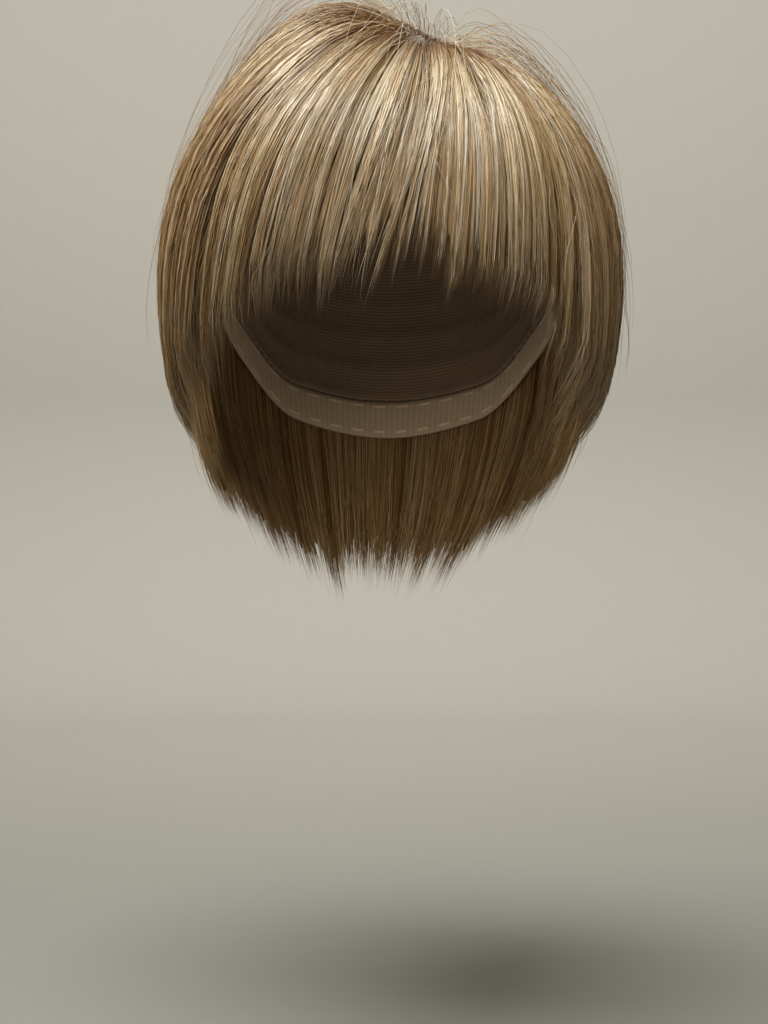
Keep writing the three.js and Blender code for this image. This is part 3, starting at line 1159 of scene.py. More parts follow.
@dataclass
class HairSection:
    """A section of hair: a backing in locks, and strands that are combed over it in wisps.

    Tip depth and relief are shares of the hair's depth, and a strand's width is in millimetres. Clump draws
    strands to their wisp's tips, gather draws wisps to the middle of their lock, and crossing moves them
    past each other, in a wisp's width. A pair is a range, or the stretch over which something grows.
    """

    node: str
    layer: Layer
    locks: Locks
    wisps: int
    seed: int
    outer: int = 1780
    strays: int = 100
    tone: float = 0.43
    edge_shade: float = 0.0
    tip_depth: float = 0.85
    backing_end: float = 0.8
    clump: float = 0.8
    gather: float = 0.25
    crossing: float = 0.9
    width: float = 0.36
    width_range: Window = (0.7, 1.25)
    relief: float = 0.1
    groove_rise: Window = (0.06, 0.55)
    notch_share: float = 0.5
    mark_power: float = 1.2
    mark_room: float = 0.55

    @property
    def counts(self) -> tuple[tuple[int, Comb], ...]:
        """How many strands lie in each way."""
        raise NotImplementedError

    def backing(self) -> MeshParts:
        """The locks' inner body, which ends short of the tips."""
        raise NotImplementedError

    def combing(self, count: int, comb: Comb) -> MeshParts:
        """Works out the paths of so many strands that lie in one way."""
        raise NotImplementedError

    def numbers(self, comb: Comb) -> np.random.Generator:
        """The section's own random numbers for the strands that lie in one way."""
        return np.random.default_rng(self.seed + COMB_SEED_STEP * list(Comb).index(comb))

    def marks(self, wisp: Array, comb: Comb) -> Array:
        """The points of each strand, unlike in each wisp so that no bends align.

        Args:
            wisp: Each strand's wisp.
            comb: How the strands lie.

        Returns:
            Shares of a strand's length, strands by points.
        """
        even = np.linspace(0, 1, comb.value) ** self.mark_power
        room = np.where((even > 0) & (even < 1), self.mark_room / comb.value, 0.0)
        moved = np.random.default_rng(self.seed + MARK_SEED).random((self.wisps, comb.value)) - 0.5
        return even + room * moved[wisp]

    def groove(self, share: Array, along: Array) -> Array:
        """How much shallower the hair is off a lock's middle, by the square of the distance from it."""
        return self.relief * self.locks.across(share)[1] ** 2 * ease(along, *self.groove_rise)

    def wisp_plan(self, rng: np.random.Generator, count: int, comb: Comb) -> WispPlan:
        """Deals strands out to wisps, and each wisp's strands to finer tips.

        Args:
            rng: The section's own random numbers.
            count: How many strands there are.
            comb: How they lie.

        Returns:
            Where each strand belongs.
        """
        stray = comb is Comb.STRAY
        wisp = rng.integers(0, self.wisps, count) if stray else np.arange(count) % self.wisps
        fine = (np.arange(count) // self.wisps) % WISPS.fine_tips
        scattered = WISPS.middle_scatter * WISP_PLACES.centred(wisp)
        middle = np.clip((wisp + 0.5 + scattered) / self.wisps, *WISPS.middle_bounds)
        reach = WISPS.reach / self.wisps
        root = np.clip(middle + rng.normal(0, WISPS.root_spread, count) * reach, *WISPS.root_bounds)
        crossing_rng = np.random.default_rng(self.seed + CROSSING_SEED)
        crossed = crossing_rng.normal(0, self.crossing, self.wisps)[wisp] * reach
        gathered = mix(middle, self.locks.across(middle)[2], self.gather)
        drawn = gathered + (fine - (WISPS.fine_tips - 1) / 2) * WISPS.fine_step * reach + crossed
        hold = STRAYS.hold if stray else self.clump * rng.uniform(*WISPS.hold, count)
        noise = rng.normal(0, WISPS.tip_noise, count) * reach
        tip = np.clip(mix(root, drawn, hold) + noise, *WISPS.tip_bounds)
        return WispPlan(wisp, fine, middle, root, tip)

    def ridge(self, wisp: Array) -> Array:
        """A slow wave over the wisps, from -1 to 1: the crests lie higher and paler than the troughs."""
        # In the tones, the paler crests are painted light and the darker troughs painted shade.
        return sum(part * np.sin(pace * wisp + phase * self.seed) for part, pace, phase in RIDGE_WAVES)

    def sway(self, rng: np.random.Generator, wisp: Array, along: Array, comb: Comb) -> Array:
        """Sideways sway: one slow sine for each wisp and a weaker, quicker one for each strand.

        Args:
            rng: The section's own random numbers.
            wisp: Each strand's wisp.
            along: Its points' shares of its length.
            comb: How the strands lie.

        Returns:
            Distances in millimetres, strands by points.
        """
        count = len(wisp)
        phase = FULL_TURN * WISP_SWAY.at(wisp)[:, None]
        slow = WISPS.slow_sway * np.sin(WISPS.slow_pace * along + phase) * along
        size = rng.uniform(*(STRAYS.sway if comb is Comb.STRAY else WISPS.quick_sway), count)[:, None]
        pace = rng.uniform(*WISPS.quick_pace, count)[:, None]
        quick = size * np.sin(pace * along + rng.uniform(0, FULL_TURN, count)[:, None])
        return slow + quick * ease(along, *WISPS.sway_rise)

    def widths(self, rng: np.random.Generator, count: int, comb: Comb) -> Array:
        """The strands' widths at their roots, less for strays."""
        thinness = STRAYS.thinness if comb is Comb.STRAY else 1.0
        return self.width * rng.uniform(*self.width_range, count) * thinness

    def tones(self, rng: np.random.Generator, wisp: Array) -> Array:
        """Tones from dark to pale: a part shared by each wisp, and dark and pale streaks of single strands.

        The section's first and last wisps are darker by its edge shade. Wisps on the ridge's crests are paler
        and those in its troughs darker, as painted light and shade.

        Args:
            rng: The section's own random numbers.
            wisp: Each strand's wisp.

        Returns:
            A tone between 0 and 1 for each strand.
        """
        count = len(wisp)
        kind = rng.random(count)
        pale = np.where(kind > TONES.pale_above, TONES.pale_streak, 0.0)
        streak = np.where(kind < TONES.dark_below, TONES.dark_streak, pale)
        own = streak + rng.normal(0, TONES.own_spread, count)
        # The ridge's part paints light on the higher wisps and shade on the lower ones.
        shared = TONES.wisp_spread * WISP_TONES.centred(wisp) + TONES.ridge * self.ridge(wisp)
        border = ease(np.abs(2 * (wisp + 0.5) / self.wisps - 1), TONES.edge_start, 1.0)
        return np.clip(self.tone + shared + own - self.edge_shade * border, 0.0, 1.0)

    def layers(self) -> list[MeshParts]:
        """The backing, and the strands that are combed over it."""
        return [self.backing()] + [self.combing(count, comb) for count, comb in self.counts]

    def build(self, finish: bpy.types.Material) -> bpy.types.Object:
        """Makes the section's piece, which stands for its node.

        Args:
            finish: The fibre's material.

        Returns:
            The piece.
        """
        piece = MeshParts.joined(self.layers()).to_object(f"{self.node}_strands", finish, STRAND_MAP)
        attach(piece, BODY)
        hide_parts(self.node)
        return piece


@dataclass
class CombedSection(HairSection):
    """A section of the upper layer, combed from the whorl.

    The backing's tone is a part of the section's own, darker as painted shade in the gaps between wisps, and
    its length is counted from the backing's angle, in radians. Tip spread is how unevenly strands are cut,
    and long share is the part of them that may pass the section's edge.
    """

    inner: int = 1450
    backing_shade_part: float = 0.55
    tip_fall: Window = (0.45, 1.0)
    backing_angle: float = 0.046
    backing_rise: Window = (-0.1, 0.2)
    backing_hollow: Window = (0.45, 0.95)
    partings: tuple[Parting, ...] = ()
    root_share: float = 0.5
    tip_spread: float = 0.04
    long_share: float = 0.0

    @property
    def counts(self) -> tuple[tuple[int, Comb], ...]:
        """The strands beneath and on top, and the strays."""
        return (self.inner, Comb.INNER), (self.outer, Comb.OUTER), (self.strays, Comb.STRAY)

    def ends(self, share: Array) -> Array:
        """Where the section ends, by the level of its tips on that side of the wig.

        Args:
            share: Shares of the section.

        Returns:
            Angles from the whorl in radians.
        """
        azimuth = self.locks.azimuth(share)
        ones = np.ones(np.shape(azimuth))
        side = SHAPE.combed(azimuth, SIDE_ANGLE * ones)
        turned = np.arctan2(side[..., 0], -side[..., 1])
        height = self.locks.tip_height(share, UPPER_TIPS.read(turned), self.notch_share)

        def outer_height(angle: Array) -> Array:
            """The height of the hair's outside at an angle from the whorl."""
            return SHAPE.hair(SHAPE.combed(azimuth, angle), ones)[..., 2]

        return fall_to(height, *ANGLE_RANGE, outer_height)

    def outside(self, share: Array, along: Array) -> Array:
        """The depth of the hair's outside: full near the whorl, less at the tips and between locks.

        Args:
            share: Shares of the section.
            along: Shares of the way from the whorl to the tips.

        Returns:
            Depths from the cap (0) to the outside (1).
        """
        full = mix(1.0, self.tip_depth, ease(along, *self.tip_fall))
        return full - self.groove(share, along)

    def backing(self) -> MeshParts:
        """The locks' inner body: the section's own form at part of its depth, ending short of the tips.

        Returns:
            A closed wall.
        """
        sizes = UPPER_BACKING
        share, along = sizes.grid(self.locks.count, self.backing_end)
        angle = mix(self.backing_angle, self.ends(share), along)
        direction = SHAPE.combed(self.locks.azimuth(share), angle)
        depth = self.outside(share, along)
        outer = SHAPE.hair(direction, depth * mix(*sizes.outer_face, along) * ease(along, *self.backing_rise))
        inner = SHAPE.hair(direction, depth * mix(*sizes.inner_face, ease(along, *self.backing_hollow)))
        # A darker tone than the strands': painted shade in the gaps between wisps.
        tone = sizes.tones(self.seed, self.backing_shade_part * self.tone, share.shape[1] - 1)
        return closed_wall(outer, inner, False, tone)

    def run(self, rng: np.random.Generator, plan: WispPlan, comb: Comb) -> StrandRun:
        """Where each strand starts and ends.

        Most start in a ring round the whorl and the rest further down. They end at the section's edge, cut
        unevenly by wisp, by fine tip and by strand. Loose strays are short stretches anywhere on the way.

        Args:
            rng: The section's own random numbers.
            plan: Where each strand belongs.
            comb: How the strands lie.

        Returns:
            The strands' runs.
        """
        count = len(plan.wisp)
        end = self.ends(plan.tip)
        near = rng.random(count) < (WISPS.near_share_beneath if comb is Comb.INNER else WISPS.near_share)
        rank = rng.random(count)
        ring = WISPS.root_gap + WISPS.root_ring * rng.random(count) ** WISPS.root_power
        first = np.where(near, ring, (WISPS.far_start + self.root_share * rank) * end)
        wisp_cut = (WISP_CUTS.at(plan.wisp) - WISPS.cut_middle) * WISPS.wisp_cut
        fine_cut = FINE_CUTS.centred(plan.wisp * WISPS.fine_tips + plan.fine) * WISPS.fine_cut
        strand_cut = -np.abs(rng.normal(0, self.tip_spread, count))
        is_long = rng.random(count) < self.long_share
        longer = np.where(is_long, rng.uniform(0.0, WISPS.longest, count), 0.0)
        last = end * (1 + WISPS.tip_regain * self.tip_spread + wisp_cut + fine_cut + strand_cut + longer)
        start = np.minimum(first, last - WISPS.shortest)
        loose = np.zeros(count, dtype=bool)
        if comb is Comb.STRAY:
            loose = rng.random(count) < STRAYS.loose_share
            start = np.where(loose, rng.uniform(*STRAYS.loose_start, count) * end, start)
            loose_last = start + rng.uniform(*STRAYS.loose_length, count) * end
            rooted_last = mix(start, last, rng.uniform(*STRAYS.rooted_length, count))
            last = np.where(loose, loose_last, rooted_last)
        return StrandRun(start, last, end, rank, near & ~loose, loose)

    def depths(self, plan: WispPlan, run: StrandRun, share: Array, along: Array, comb: Comb) -> Array:
        """How deep each strand's points lie in the hair, from the cap (0) to the outside (1).

        A strand lies at its rank's level under the outside, with its wisp crowned like a lens. It rises from
        the cap within a short way of its root, and tucks in past the section's edge.

        Args:
            plan: Where each strand belongs.
            run: Where it starts and ends.
            share: Its points' shares of the section.
            along: Its points' shares of its length.
            comb: How the strands lie.

        Returns:
            Depths, strands by points.
        """
        angle = mix(run.start[:, None], run.last[:, None], along)
        whole = angle / run.end[:, None]
        level = 1 - WISPS.rank_drop * run.rank
        if comb is Comb.INNER:
            far = WISPS.far_level - WISPS.far_drop * run.rank
            level = np.where(run.near, level - WISPS.beneath_drop, far)
        level = level + WISPS.wisp_level * WISP_LEVELS.centred(plan.wisp)
        level = level + WISPS.ridge_level * self.ridge(plan.wisp)
        off_middle = (share - plan.middle[:, None]) * self.wisps / WISPS.reach
        lens = WISPS.lens_rise * (1 - np.minimum(1, off_middle**2)) - WISPS.lens_sink
        outside = self.outside(share, np.minimum(whole, 1.0))
        tucked = WISPS.tuck * np.maximum(whole - WISPS.tuck_start, 0) / WISPS.longest
        depth = outside * np.clip(level, *WISPS.level_bounds)[:, None] + lens - tucked
        risen = 1 - WISPS.root_flat * np.exp(-(angle - run.start[:, None]) / WISPS.root_rise)
        return depth * np.where(run.near[:, None], risen, ease(along, *WISPS.far_rise))

    def combing(self, count: int, comb: Comb) -> MeshParts:
        """Works out every strand's path.

        A strand starts on the cap at its own angle from the whorl and follows a great circle. It rises to
        its depth, drifts sideways to its wisp's fine tip, sways by sines, and is pushed aside by partings.
        Strays are also lifted and bent aside, and those from the whorl stand up before they fall.

        Args:
            count: How many strands to comb.
            comb: How they lie.

        Returns:
            The strands as tubes.
        """
        rng = self.numbers(comb)
        stray = comb is Comb.STRAY
        plan = self.wisp_plan(rng, count, comb)
        along = self.marks(plan.wisp, comb)
        share = mix(plan.root[:, None], plan.tip[:, None], ease(along, *WISPS.drift))
        run = self.run(rng, plan, comb)
        angle = mix(run.start[:, None], run.last[:, None], along)
        depth = self.depths(plan, run, share, along, comb)
        aside = self.sway(rng, plan.wisp, along, comb)
        stand = np.zeros(along.shape)
        if stray:
            arch = np.where(run.loose, 0.0, STRAYS.arch * rng.random(count))[:, None]
            loose_lift = rng.uniform(0.0, STRAYS.loose_lift, count)
            lift = np.where(run.loose, loose_lift, STRAYS.rooted_lift)[:, None]
            bent = arch * ease(along, *STRAYS.arch_rise) * (1 - ease(along, *STRAYS.arch_fall))
            depth = depth + lift * ease(along, *STRAYS.lift_rise) + bent
            drift = rng.normal(0, STRAYS.drift, count)[:, None]
            aside = aside + drift * ease(along, *STRAYS.drift_rise)
            height = STRAYS.stand * rng.random(count) ** STRAYS.stand_power
            upright = ease(along, *STRAYS.stand_rise) * (1 - ease(along, *STRAYS.stand_fall))
            stand = np.where(run.loose, 0.0, height)[:, None] * upright
        azimuth = self.locks.azimuth(share)
        spread = np.maximum(np.sin(angle), WISPS.least_sine) * HAIR_FORM.height
        held = (rng.random(count) > WISPS.unparted)[:, None]
        for parting in self.partings:
            aside = aside + held * parting.push(azimuth.mean(axis=1), angle / run.end[:, None], spread)
        direction = SHAPE.combed(azimuth + aside / np.maximum(spread, WISPS.least_spread), angle)
        path = SHAPE.hair(direction, np.maximum(depth, WISPS.least_depth))
        path[..., 2] = np.minimum(path[..., 2] + stand, np.maximum(path[..., 2], STRAYS.ceiling))
        width = self.widths(rng, count, comb)
        shade = mix(STRAYS.root_shade, 1.0, along) if stray else along
        return strand_tubes(path, shade, width, self.tones(rng, plan.wisp))


@dataclass
class UnderLayer(HairSection):
    """The hair of the lower weft rows, which hangs straight round the sides and the nape.

    The root level, row clearance, drifts and turn radius are in millimetres, cuts in shares of a strand's
    length, and flicks and lifts in shares of the hair's depth.
    """

    width_range: Window = (0.7, 1.2)
    groove_rise: Window = (0.35, 0.8)
    root_depth: float = 0.2
    body_rise: Window = (0.0, 0.3)
    least_body: float = 0.07
    root_level: float = 60.0
    root_rise: Window = (-0.05, 0.25)
    row_clearance: float = 4.0
    row_sink: float = 0.12
    row_power: float = 0.9
    gather_rise: Window = (0.25, 1.0)
    wisp_cut: float = 0.08
    strand_cut: float = 0.06
    tip_regain: float = 0.05
    longest: float = 1.1
    wisp_flick: float = 0.03
    wisp_flick_spread: float = 0.05
    strand_flick_spread: float = 0.06
    flick_rise: Window = (0.6, 1.0)
    stray_lift: float = 0.3
    stray_rise: Window = (0.4, 1.0)
    drift: float = 2.6
    stray_drift: float = 6.0
    drift_rise: Window = (0.65, 1.0)
    deepest: float = 0.8
    turn_radius: float = 88.0
    backing_shade: float = 0.18

    @property
    def counts(self) -> tuple[tuple[int, Comb], ...]:
        """The hanging strands and the strays."""
        return (self.outer, Comb.HANGING), (self.strays, Comb.STRAY)

    def dips(self, azimuth: Array, height: Array) -> Array:
        """The dip below level of the direction that reaches a height on the cap.

        Args:
            azimuth: Azimuths round the wig in radians.
            height: The heights to reach.

        Returns:
            Dips in radians.
        """
        zeros = np.zeros(np.shape(azimuth))

        def cap_height(dip: Array) -> Array:
            """The height on the cap at a dip."""
            return SHAPE.hair(SHAPE.facing(azimuth, -dip), zeros)[..., 2]

        return fall_to(height, *DIP_RANGE, cap_height)

    def tip_dips(self, share: Array) -> Array:
        """The dip where hair at a share of the section ends."""
        azimuth = self.locks.azimuth(share)
        return self.dips(azimuth, self.locks.tip_height(share, UNDER_TIPS.read(azimuth), self.notch_share))

    def body(self, share: Array, along: Array) -> Array:
        """The depth of the layer's outside: thin at its roots, full below, less between locks.

        Args:
            share: Shares of the section.
            along: Shares of the way from the roots to the tips.

        Returns:
            Depths from the cap (0) to the outside (1).
        """
        full = self.tip_depth * mix(self.root_depth, 1.0, ease(along, *self.body_rise))
        return np.maximum(full - self.groove(share, along), self.least_body)

    def backing(self) -> MeshParts:
        """The layer's inner body at part of its depth, ending short of the tips.

        Returns:
            A closed wall.
        """
        sizes = UNDER_BACKING
        share, along = sizes.grid(self.locks.count, self.backing_end)
        azimuth = self.locks.azimuth(share)
        first = self.dips(azimuth, np.full(azimuth.shape, -self.root_level))
        direction = SHAPE.facing(azimuth, -mix(first, self.tip_dips(share), along))
        depth = self.body(share, along)
        outer = SHAPE.hair(direction, depth * mix(*sizes.outer_face, along))
        inner = SHAPE.hair(direction, depth * mix(*sizes.inner_face, along))
        tone = sizes.tones(self.seed, self.backing_shade, share.shape[1] - 1)
        return closed_wall(outer, inner, False, tone)

    def combing(self, count: int, comb: Comb) -> MeshParts:
        """Works out every strand's path.

        A strand starts on its weft row and hangs down at its own azimuth. Higher rows lie further out. Each
        wisp gathers towards its fine tips, which flick out or in.

        Args:
            count: How many strands to comb.
            comb: How they lie.

        Returns:
            The strands as tubes.
        """
        rng = self.numbers(comb)
        stray = comb is Comb.STRAY
        plan = self.wisp_plan(rng, count, comb)
        along = self.marks(plan.wisp, comb)
        share = mix(plan.root[:, None], plan.tip[:, None], ease(along, *self.gather_rise))
        row = rng.random(count)
        azimuth = self.locks.azimuth(share)
        low = BAND_EDGE.read(azimuth[:, 0]) - self.row_clearance
        first = self.dips(azimuth[:, 0], -mix(np.minimum(self.root_level, low), low, row))
        end = self.tip_dips(plan.tip)
        fine = HANGING_CUTS.at(plan.wisp * WISPS.fine_tips + plan.fine) - WISPS.cut_middle
        cut = fine * self.wisp_cut - np.abs(rng.normal(0, self.strand_cut, count)) + self.tip_regain
        dip = mix(first[:, None], (end + (end - first) * cut)[:, None], along)
        whole = np.clip((dip - first.min()) / (end[:, None] - first.min()), 0, self.longest)
        depth = self.body(share, whole) * mix(1.0, self.row_sink, row[:, None] ** self.row_power)
        flick_rng = np.random.default_rng(self.seed + FLICK_SEED)
        shared = flick_rng.normal(self.wisp_flick, self.wisp_flick_spread, self.wisps)
        flick = shared[plan.wisp] + rng.normal(0, self.strand_flick_spread, count)
        depth = depth * ease(along, *self.root_rise) + flick[:, None] * ease(along, *self.flick_rise)
        if stray:
            depth = depth + rng.uniform(0.0, self.stray_lift, count)[:, None] * ease(along, *self.stray_rise)
        drift = rng.normal(0, self.stray_drift if stray else self.drift, count)[:, None]
        aside = self.sway(rng, plan.wisp, along, comb) + drift * ease(along, *self.drift_rise)
        direction = SHAPE.facing(azimuth + aside / self.turn_radius, -dip)
        path = SHAPE.hair(direction, np.clip(depth, WISPS.least_depth, self.deepest))
        width = self.widths(rng, count, comb)
        return strand_tubes(path, along, width, self.tones(rng, plan.wisp))


@dataclass
class CapPanel:
    """One panel of the cap, between two levels that change round it."""

    node: str
    columns: int
    rows: int

    @staticmethod
    def elevation(azimuth: Array, level: Array) -> Array:
        """The elevation where the cap's form reaches a level.

        Args:
            azimuth: Azimuths round the wig in radians.
            level: Levels in millimetres below the origin.

        Returns:
            Elevations in radians.
        """

        def cap_height(dip: Array) -> Array:
            """The height of the cap's form at a dip below level."""
            return SHAPE.place(CAP_FORM, SHAPE.facing(azimuth, -dip))[..., 2]

        return -fall_to(-level, *CAP_DIP_RANGE, cap_height)

    def span(self, azimuth: Array) -> tuple[Array, Array]:
        """The panel's upper and lower elevations by azimuth."""
        raise NotImplementedError

    def inside(self, azimuth: Array, along: Array) -> Array:
        """How far the inner face stands in from the cap's form."""
        raise NotImplementedError

    def parts(self) -> MeshParts:
        """The panel's wall: the cap's form, moved out for the outside and by inside() for the inside.

        Returns:
            A closed wall.
        """
        turn = np.linspace(0, 2 * math.pi, self.columns, endpoint=False)
        upper, lower = self.span(turn)
        along = np.broadcast_to(np.linspace(0, 1, self.rows)[:, None], (self.rows, self.columns))
        azimuth = np.broadcast_to(turn, along.shape)
        direction = SHAPE.facing(azimuth, mix(upper, lower, along))
        outer = SHAPE.place(CAP_FORM.grown(SHAPE.cap_wall), direction)
        inner = SHAPE.place(CAP_FORM.towards(CAP_FORM.grown(1.0), -self.inside(azimuth, along)), direction)
        return closed_wall(outer, inner, True)

    def build(self, finish: bpy.types.Material) -> bpy.types.Object:
        """Makes the panel's piece, which stands for its node.

        Args:
            finish: The cloth's material.

        Returns:
            The piece.
        """
        piece = self.parts().to_object(f"{self.node}_panel", finish, PANEL_MAP)
        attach(piece, BODY)
        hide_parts(self.node)
        return piece


@dataclass
class MonoTop(CapPanel):
    """The sheer top panel, which closes at the crown."""

    crown: float = 0.03
    seam: float = 0.5
    seam_rise: Window = (0.9, 0.94)

    def span(self, azimuth: Array) -> tuple[Array, Array]:
        """From the crown to the panel's sewn edge."""
        top = np.full(azimuth.shape, math.pi / 2 - self.crown)
        return top, self.elevation(azimuth, MONO_EDGE.read(azimuth))

    def inside(self, azimuth: Array, along: Array) -> Array:
        """A flat seam along the edge."""
        return self.seam * ease(along, *self.seam_rise)

    def parts(self) -> MeshParts:
        """The wall, with a fan of faces to a point at the crown on both sides instead of its upper rim.

        Returns:
            A closed wall.
        """
        wall = super().parts()
        total = self.rows * self.columns
        up = np.array([[0.0, 0.0, 1.0]])
        crown = [SHAPE.place(CAP_FORM.grown(out), up) for out in (SHAPE.cap_wall, 0.0)]
        one = np.arange(self.columns)
        two = (one + 1) % self.columns
        outer = np.stack([one, two, np.full(self.columns, 2 * total)], -1)
        inner = np.stack([two + total, one + total, np.full(self.columns, 2 * total + 1)], -1)
        low, high = one / self.columns, (one + 1) / self.columns
        fan = corner_map((low, END_SPAN), (high, END_SPAN), (low, 0.0))
        wall.points = np.concatenate([wall.points, *crown])
        wall.faces[2:3] = [outer, inner]
        wall.places[2:3] = [fan, fan[:, [1, 0, 2]]]
        return wall


@dataclass
class WeftCap(CapPanel):
    """The wefted panel: sewn weft rows run round its inside, crossed by soft upright ribbons."""

    tracks: int = 8
    track_height: float = 1.1
    track_power: int = 5
    ribbon_azimuths: tuple[float, ...] = (75.0, 118.0, 150.0, 180.0, 210.0, 242.0, 285.0)
    ribbon_half_width: float = 3.2
    ribbon_height: float = 0.7
    ribbon_edge: float = 0.8
    degree_width: float = 1.45
    seam_gap: float = 0.5

    def span(self, azimuth: Array) -> tuple[Array, Array]:
        """From the sheer top's edge to the band's upper edge."""
        upper = self.elevation(azimuth, MONO_EDGE.read(azimuth) + self.seam_gap)
        return upper, self.elevation(azimuth, BAND_EDGE.read(azimuth))

    def inside(self, azimuth: Array, along: Array) -> Array:
        """Raised rows, each a narrow cosine ridge, and flat upright ribbons.

        Args:
            azimuth: Azimuths round the wig in radians.
            along: Shares of the way down the panel.

        Returns:
            Heights in millimetres in from the cap's form.
        """
        wave = 0.5 + 0.5 * np.cos(2 * math.pi * self.tracks * along)
        turned = [np.mod(np.degrees(azimuth) - at + 180, 360) - 180 for at in self.ribbon_azimuths]
        away = np.min(np.abs(turned) * self.degree_width, axis=0)
        flank = ease(away, self.ribbon_half_width - self.ribbon_edge, self.ribbon_half_width)
        return np.maximum(self.track_height * wave**self.track_power, self.ribbon_height * (1 - flank))


@dataclass
class EdgeBand(CapPanel):
    """The soft band round the cap's edge, rounded in section, with a tab on each side."""

    plump: float = 0.7
    set_back: float = 0.25
    seam_gap: float = 0.5

    def span(self, azimuth: Array) -> tuple[Array, Array]:
        """From the wefted panel's edge to the cap's rim."""
        upper = self.elevation(azimuth, BAND_EDGE.read(azimuth) + self.seam_gap)
        return upper, self.elevation(azimuth, CAP_RIM.read(azimuth))

    def inside(self, azimuth: Array, along: Array) -> Array:
        """A plump section: half an ellipse across the band."""
        return self.plump * np.sqrt(np.maximum(1 - (2 * along - 1) ** 2, 0)) - self.set_back


@dataclass(frozen=True)
class Lamp:
    """A soft area light. Its place, aim and size are in metres, its power in watts, its spread in degrees."""

    name: str
    place: tuple[float, float, float]
    aim: tuple[float, float, float]
    size: tuple[float, float]
    power: float
    colour: Colour
    spread: float = 180.0

    def hang(self) -> None:
        """Makes the light and turns it to its aim."""
        lamp = bpy.data.lights.new(self.name, "AREA")
        lamp.shape = "RECTANGLE"
        lamp.size, lamp.size_y = self.size
        lamp.energy = self.power
        lamp.color = self.colour
        lamp.spread = math.radians(self.spread)
        made = bpy.data.objects.new(self.name, lamp)
        made.location = self.place
        x, y, z = np.subtract(self.aim, self.place)
        made.rotation_euler = (math.atan2(math.hypot(x, y), -z), 0.0, math.atan2(-x, y))
        bpy.context.scene.collection.objects.link(made)


WIG_MIDDLE = (0.0, 0.0, -0.08)


@dataclass
class Studio:
    """A round paper backdrop, lights and the camera. Lengths are in metres, and the sensor in millimetres."""

    floor_level: float = -0.42
    floor_radius: float = 1.25
    bend_radius: float = 0.4
    bend_rows: int = 20
    inner_radius: float = 0.3
    wall_height: float = 2.6
    columns: int = 96
    focal_pixels: float = 1694.0
    frame_height: int = 1024
    sensor: float = 36.0
    nearest: float = 0.01
    camera_place: tuple[float, float, float] = (-0.0025, -0.7, -0.18)
    room_colour: Colour = (1.0, 0.965, 0.91)
    room_strength: float = 0.11
    lamps: tuple[Lamp, ...] = (
        Lamp("top_light", (-0.17, -0.5, 0.88), WIG_MIDDLE, (0.75, 0.5), 22.0, (0.985, 1.0, 0.995)),
        Lamp("front_fill", (-0.45, -1.42, 0.35), WIG_MIDDLE, (0.6, 0.8), 7.0, (1.0, 0.955, 0.89)),
        Lamp("wall_wash", (0.0, 0.5, 1.5), (0.0, 1.65, 0.0), (2.0, 0.3), 16.0, (1.0, 0.975, 0.94), 95.0),
        Lamp("back_fill", (0.35, 1.2, 0.8), WIG_MIDDLE, (0.6, 0.6), 2.5, (1.0, 0.98, 0.95)),
    )

    def sweep(self, finish: bpy.types.Material) -> None:
        """The round floor, which bends up into the backdrop.

        Its profile is a straight, a quarter round and a straight, and is turned about Z.

        Args:
            finish: The paper's material.
        """
        bend = np.linspace(0, math.pi / 2, self.bend_rows)
        rounded = self.floor_radius + self.bend_radius * np.sin(bend)
        radius = np.concatenate([[self.inner_radius], rounded, rounded[-1:]])
        rise = np.concatenate([[0.0], self.bend_radius * (1 - np.cos(bend)), [self.wall_height]])
        turn = np.linspace(0, 2 * math.pi, self.columns, endpoint=False)
        height = np.repeat((rise + self.floor_level)[:, None], self.columns, 1)
        rings = np.stack([np.outer(radius, np.sin(turn)), np.outer(radius, -np.cos(turn)), height], -1)
        points = np.concatenate([rings.reshape(-1, 3), [[0.0, 0.0, self.floor_level]]])
        starts = np.arange(len(radius) - 1) * self.columns
        row, column = np.meshgrid(starts, np.arange(self.columns), indexing="ij")
        low, after = row + self.columns, (column + 1) % self.columns
        quads = np.stack([row + column, low + column, low + after, row + after], -1).reshape(-1, 4)
        one = np.arange(self.columns)
        fan = np.stack([np.full(self.columns, len(points) - 1), one, (one + 1) % self.columns], -1)
        mesh = bpy.data.meshes.new("floor_sweep")
        mesh.from_pydata(points.tolist(), [], quads.tolist() + fan.tolist())
        mesh.polygons.foreach_set("use_smooth", np.ones(len(mesh.polygons), dtype=bool))
        mesh.materials.append(finish)
        sweep = bpy.data.objects.new("floor_sweep", mesh)
        bpy.context.scene.collection.objects.link(sweep)

    def light(self) -> None:
        """Hangs the lights in a dim even room."""
        for lamp in self.lamps:
            lamp.hang()
        world = bpy.data.worlds.new("room")
        world.use_nodes = True
        background = world.node_tree.nodes["Background"]
        background.inputs["Color"].default_value = (*self.room_colour, 1.0)
        background.inputs["Strength"].default_value = self.room_strength
        bpy.context.scene.world = world

    def shoot(self) -> None:
        """Sets the camera level at the photograph's place and angle."""
        lens = bpy.data.cameras.new("camera")
        lens.sensor_width = self.sensor
        lens.lens = self.sensor * self.focal_pixels / self.frame_height
        lens.clip_start = self.nearest
        camera = bpy.data.objects.new("camera", lens)
        camera.location = self.camera_place
        camera.rotation_euler = (math.pi / 2, 0.0, 0.0)
        bpy.context.scene.collection.objects.link(camera)
        bpy.context.scene.camera = camera
        bpy.context.scene.view_settings.view_transform = "Standard"


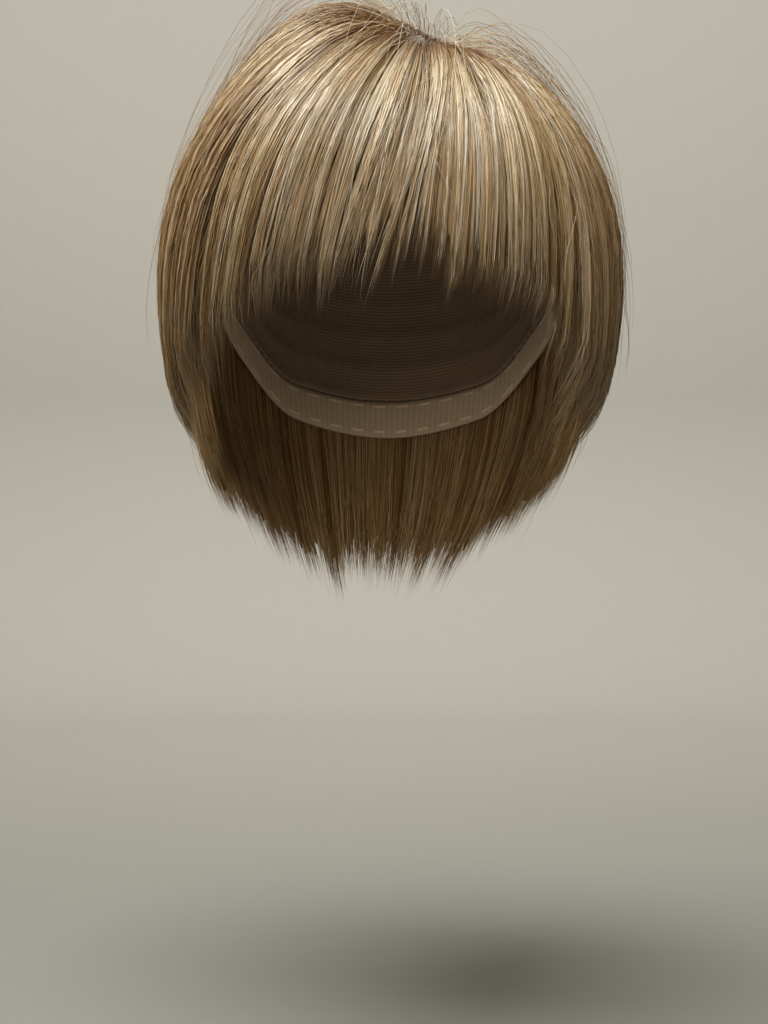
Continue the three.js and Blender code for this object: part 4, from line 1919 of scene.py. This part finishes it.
class Wig:
    """The whole wig: its cap, its upper layer and fringe, and the layer under them."""

    def cap(self) -> list[bpy.types.Object]:
        """Builds the cap's three panels.

        Returns:
            The pieces.
        """
        sheer = MeshFinish("sheer_mesh", (0.66, 0.52, 0.36), (0.4, 0.28, 0.17), 900.0, 420.0, 0.8)
        # The knit is darker than the cap's own colour: painted shade inside the cap.
        knit = MeshFinish("shaded_weft_knit", (0.22, 0.145, 0.078), (0.08, 0.046, 0.021), 1300.0, 260.0)
        band = BandFinish("soft_band", (0.55, 0.41, 0.26), (0.68, 0.56, 0.4))
        return [
            MonoTop("mono_top", columns=96, rows=28).build(sheer.make()),
            WeftCap("weft_cap", columns=160, rows=41).build(knit.make()),
            EdgeBand("edge_band", columns=180, rows=9).build(band.make()),
        ]

    def sections(self) -> list[HairSection]:
        """The five sections of hair, each with its locks from one azimuth to another.

        Returns:
            The sections, from the fringe to the nape.
        """
        front_lines = (Parting(-7, 0.26, 1.6, 6.5, 12.0, -14), Parting(25, 0.3, 0.52, 3.0, 5.0))
        right_lines = (Parting(279, 0.05, 0.32, 2.6, 5.0),)
        fringe = CombedSection(
            "fringe",
            Layer.FRINGE,
            Locks(-52, 52, 13, 17),
            wisps=104,
            seed=11,
            inner=1400,
            tone=0.5,
            backing_shade_part=0.8,
            edge_shade=0.16,
            tip_depth=0.62,
            backing_end=0.88,
            partings=front_lines,
            tip_spread=0.07,
            clump=0.65,
            relief=0.09,
        )
        left = CombedSection(
            "side_hair_left",
            Layer.UPPER,
            Locks(52, 118, 8, 14),
            wisps=72,
            seed=12,
            long_share=0.3,
        )
        back = CombedSection(
            "back_hair",
            Layer.UPPER,
            Locks(118, 242, 11, 14),
            wisps=99,
            seed=13,
            backing_end=0.82,
            long_share=0.3,
        )
        right = CombedSection(
            "side_hair_right",
            Layer.UPPER,
            Locks(242, 308, 8, 14),
            wisps=72,
            seed=14,
            partings=right_lines,
            long_share=0.35,
        )
        nape = UnderLayer(
            "nape_hair",
            Layer.UNDER,
            Locks(69, 291, 14, 15),
            wisps=126,
            seed=15,
            outer=4060,
            strays=190,
            tip_depth=0.46,
            backing_end=0.92,
            clump=0.38,
            gather=0.1,
            crossing=1.4,
            width=0.46,
            notch_share=0.3,
        )
        return [fringe, left, back, right, nape]

    def hair(self) -> list[bpy.types.Object]:
        """Builds the sections of hair with their layers' finishes.

        Returns:
            The pieces.
        """
        upper = FibreFinish("upper_fibre", UPPER_TONES, UPPER_ROOTS_AND_SHADE)
        fringe = FibreFinish("fringe_fibre", UPPER_TONES, FRINGE_ROOTS_AND_SHADE)
        under = FibreFinish("under_fibre", UNDER_TONES, UNDER_LENGTHS, roughness=0.6, shine=0.2)
        finishes = {Layer.UPPER: upper.make(), Layer.FRINGE: fringe.make(), Layer.UNDER: under.make()}
        return [section.build(finishes[section.layer]) for section in self.sections()]


def main() -> None:
    """Builds the studio and the wig in order, and reports each piece."""
    logging.basicConfig(level=logging.INFO, format="%(name)s: %(message)s")
    studio = Studio()
    studio.shoot()
    studio.sweep(PlainFinish("pale_paper", (0.31, 0.298, 0.262)).make())
    studio.light()
    wig = Wig()
    for piece in wig.cap() + wig.hair():
        LOG.info("%s: %d points, %d faces", piece.name, len(piece.data.vertices), len(piece.data.polygons))


if __name__ == "__main__":
    main()
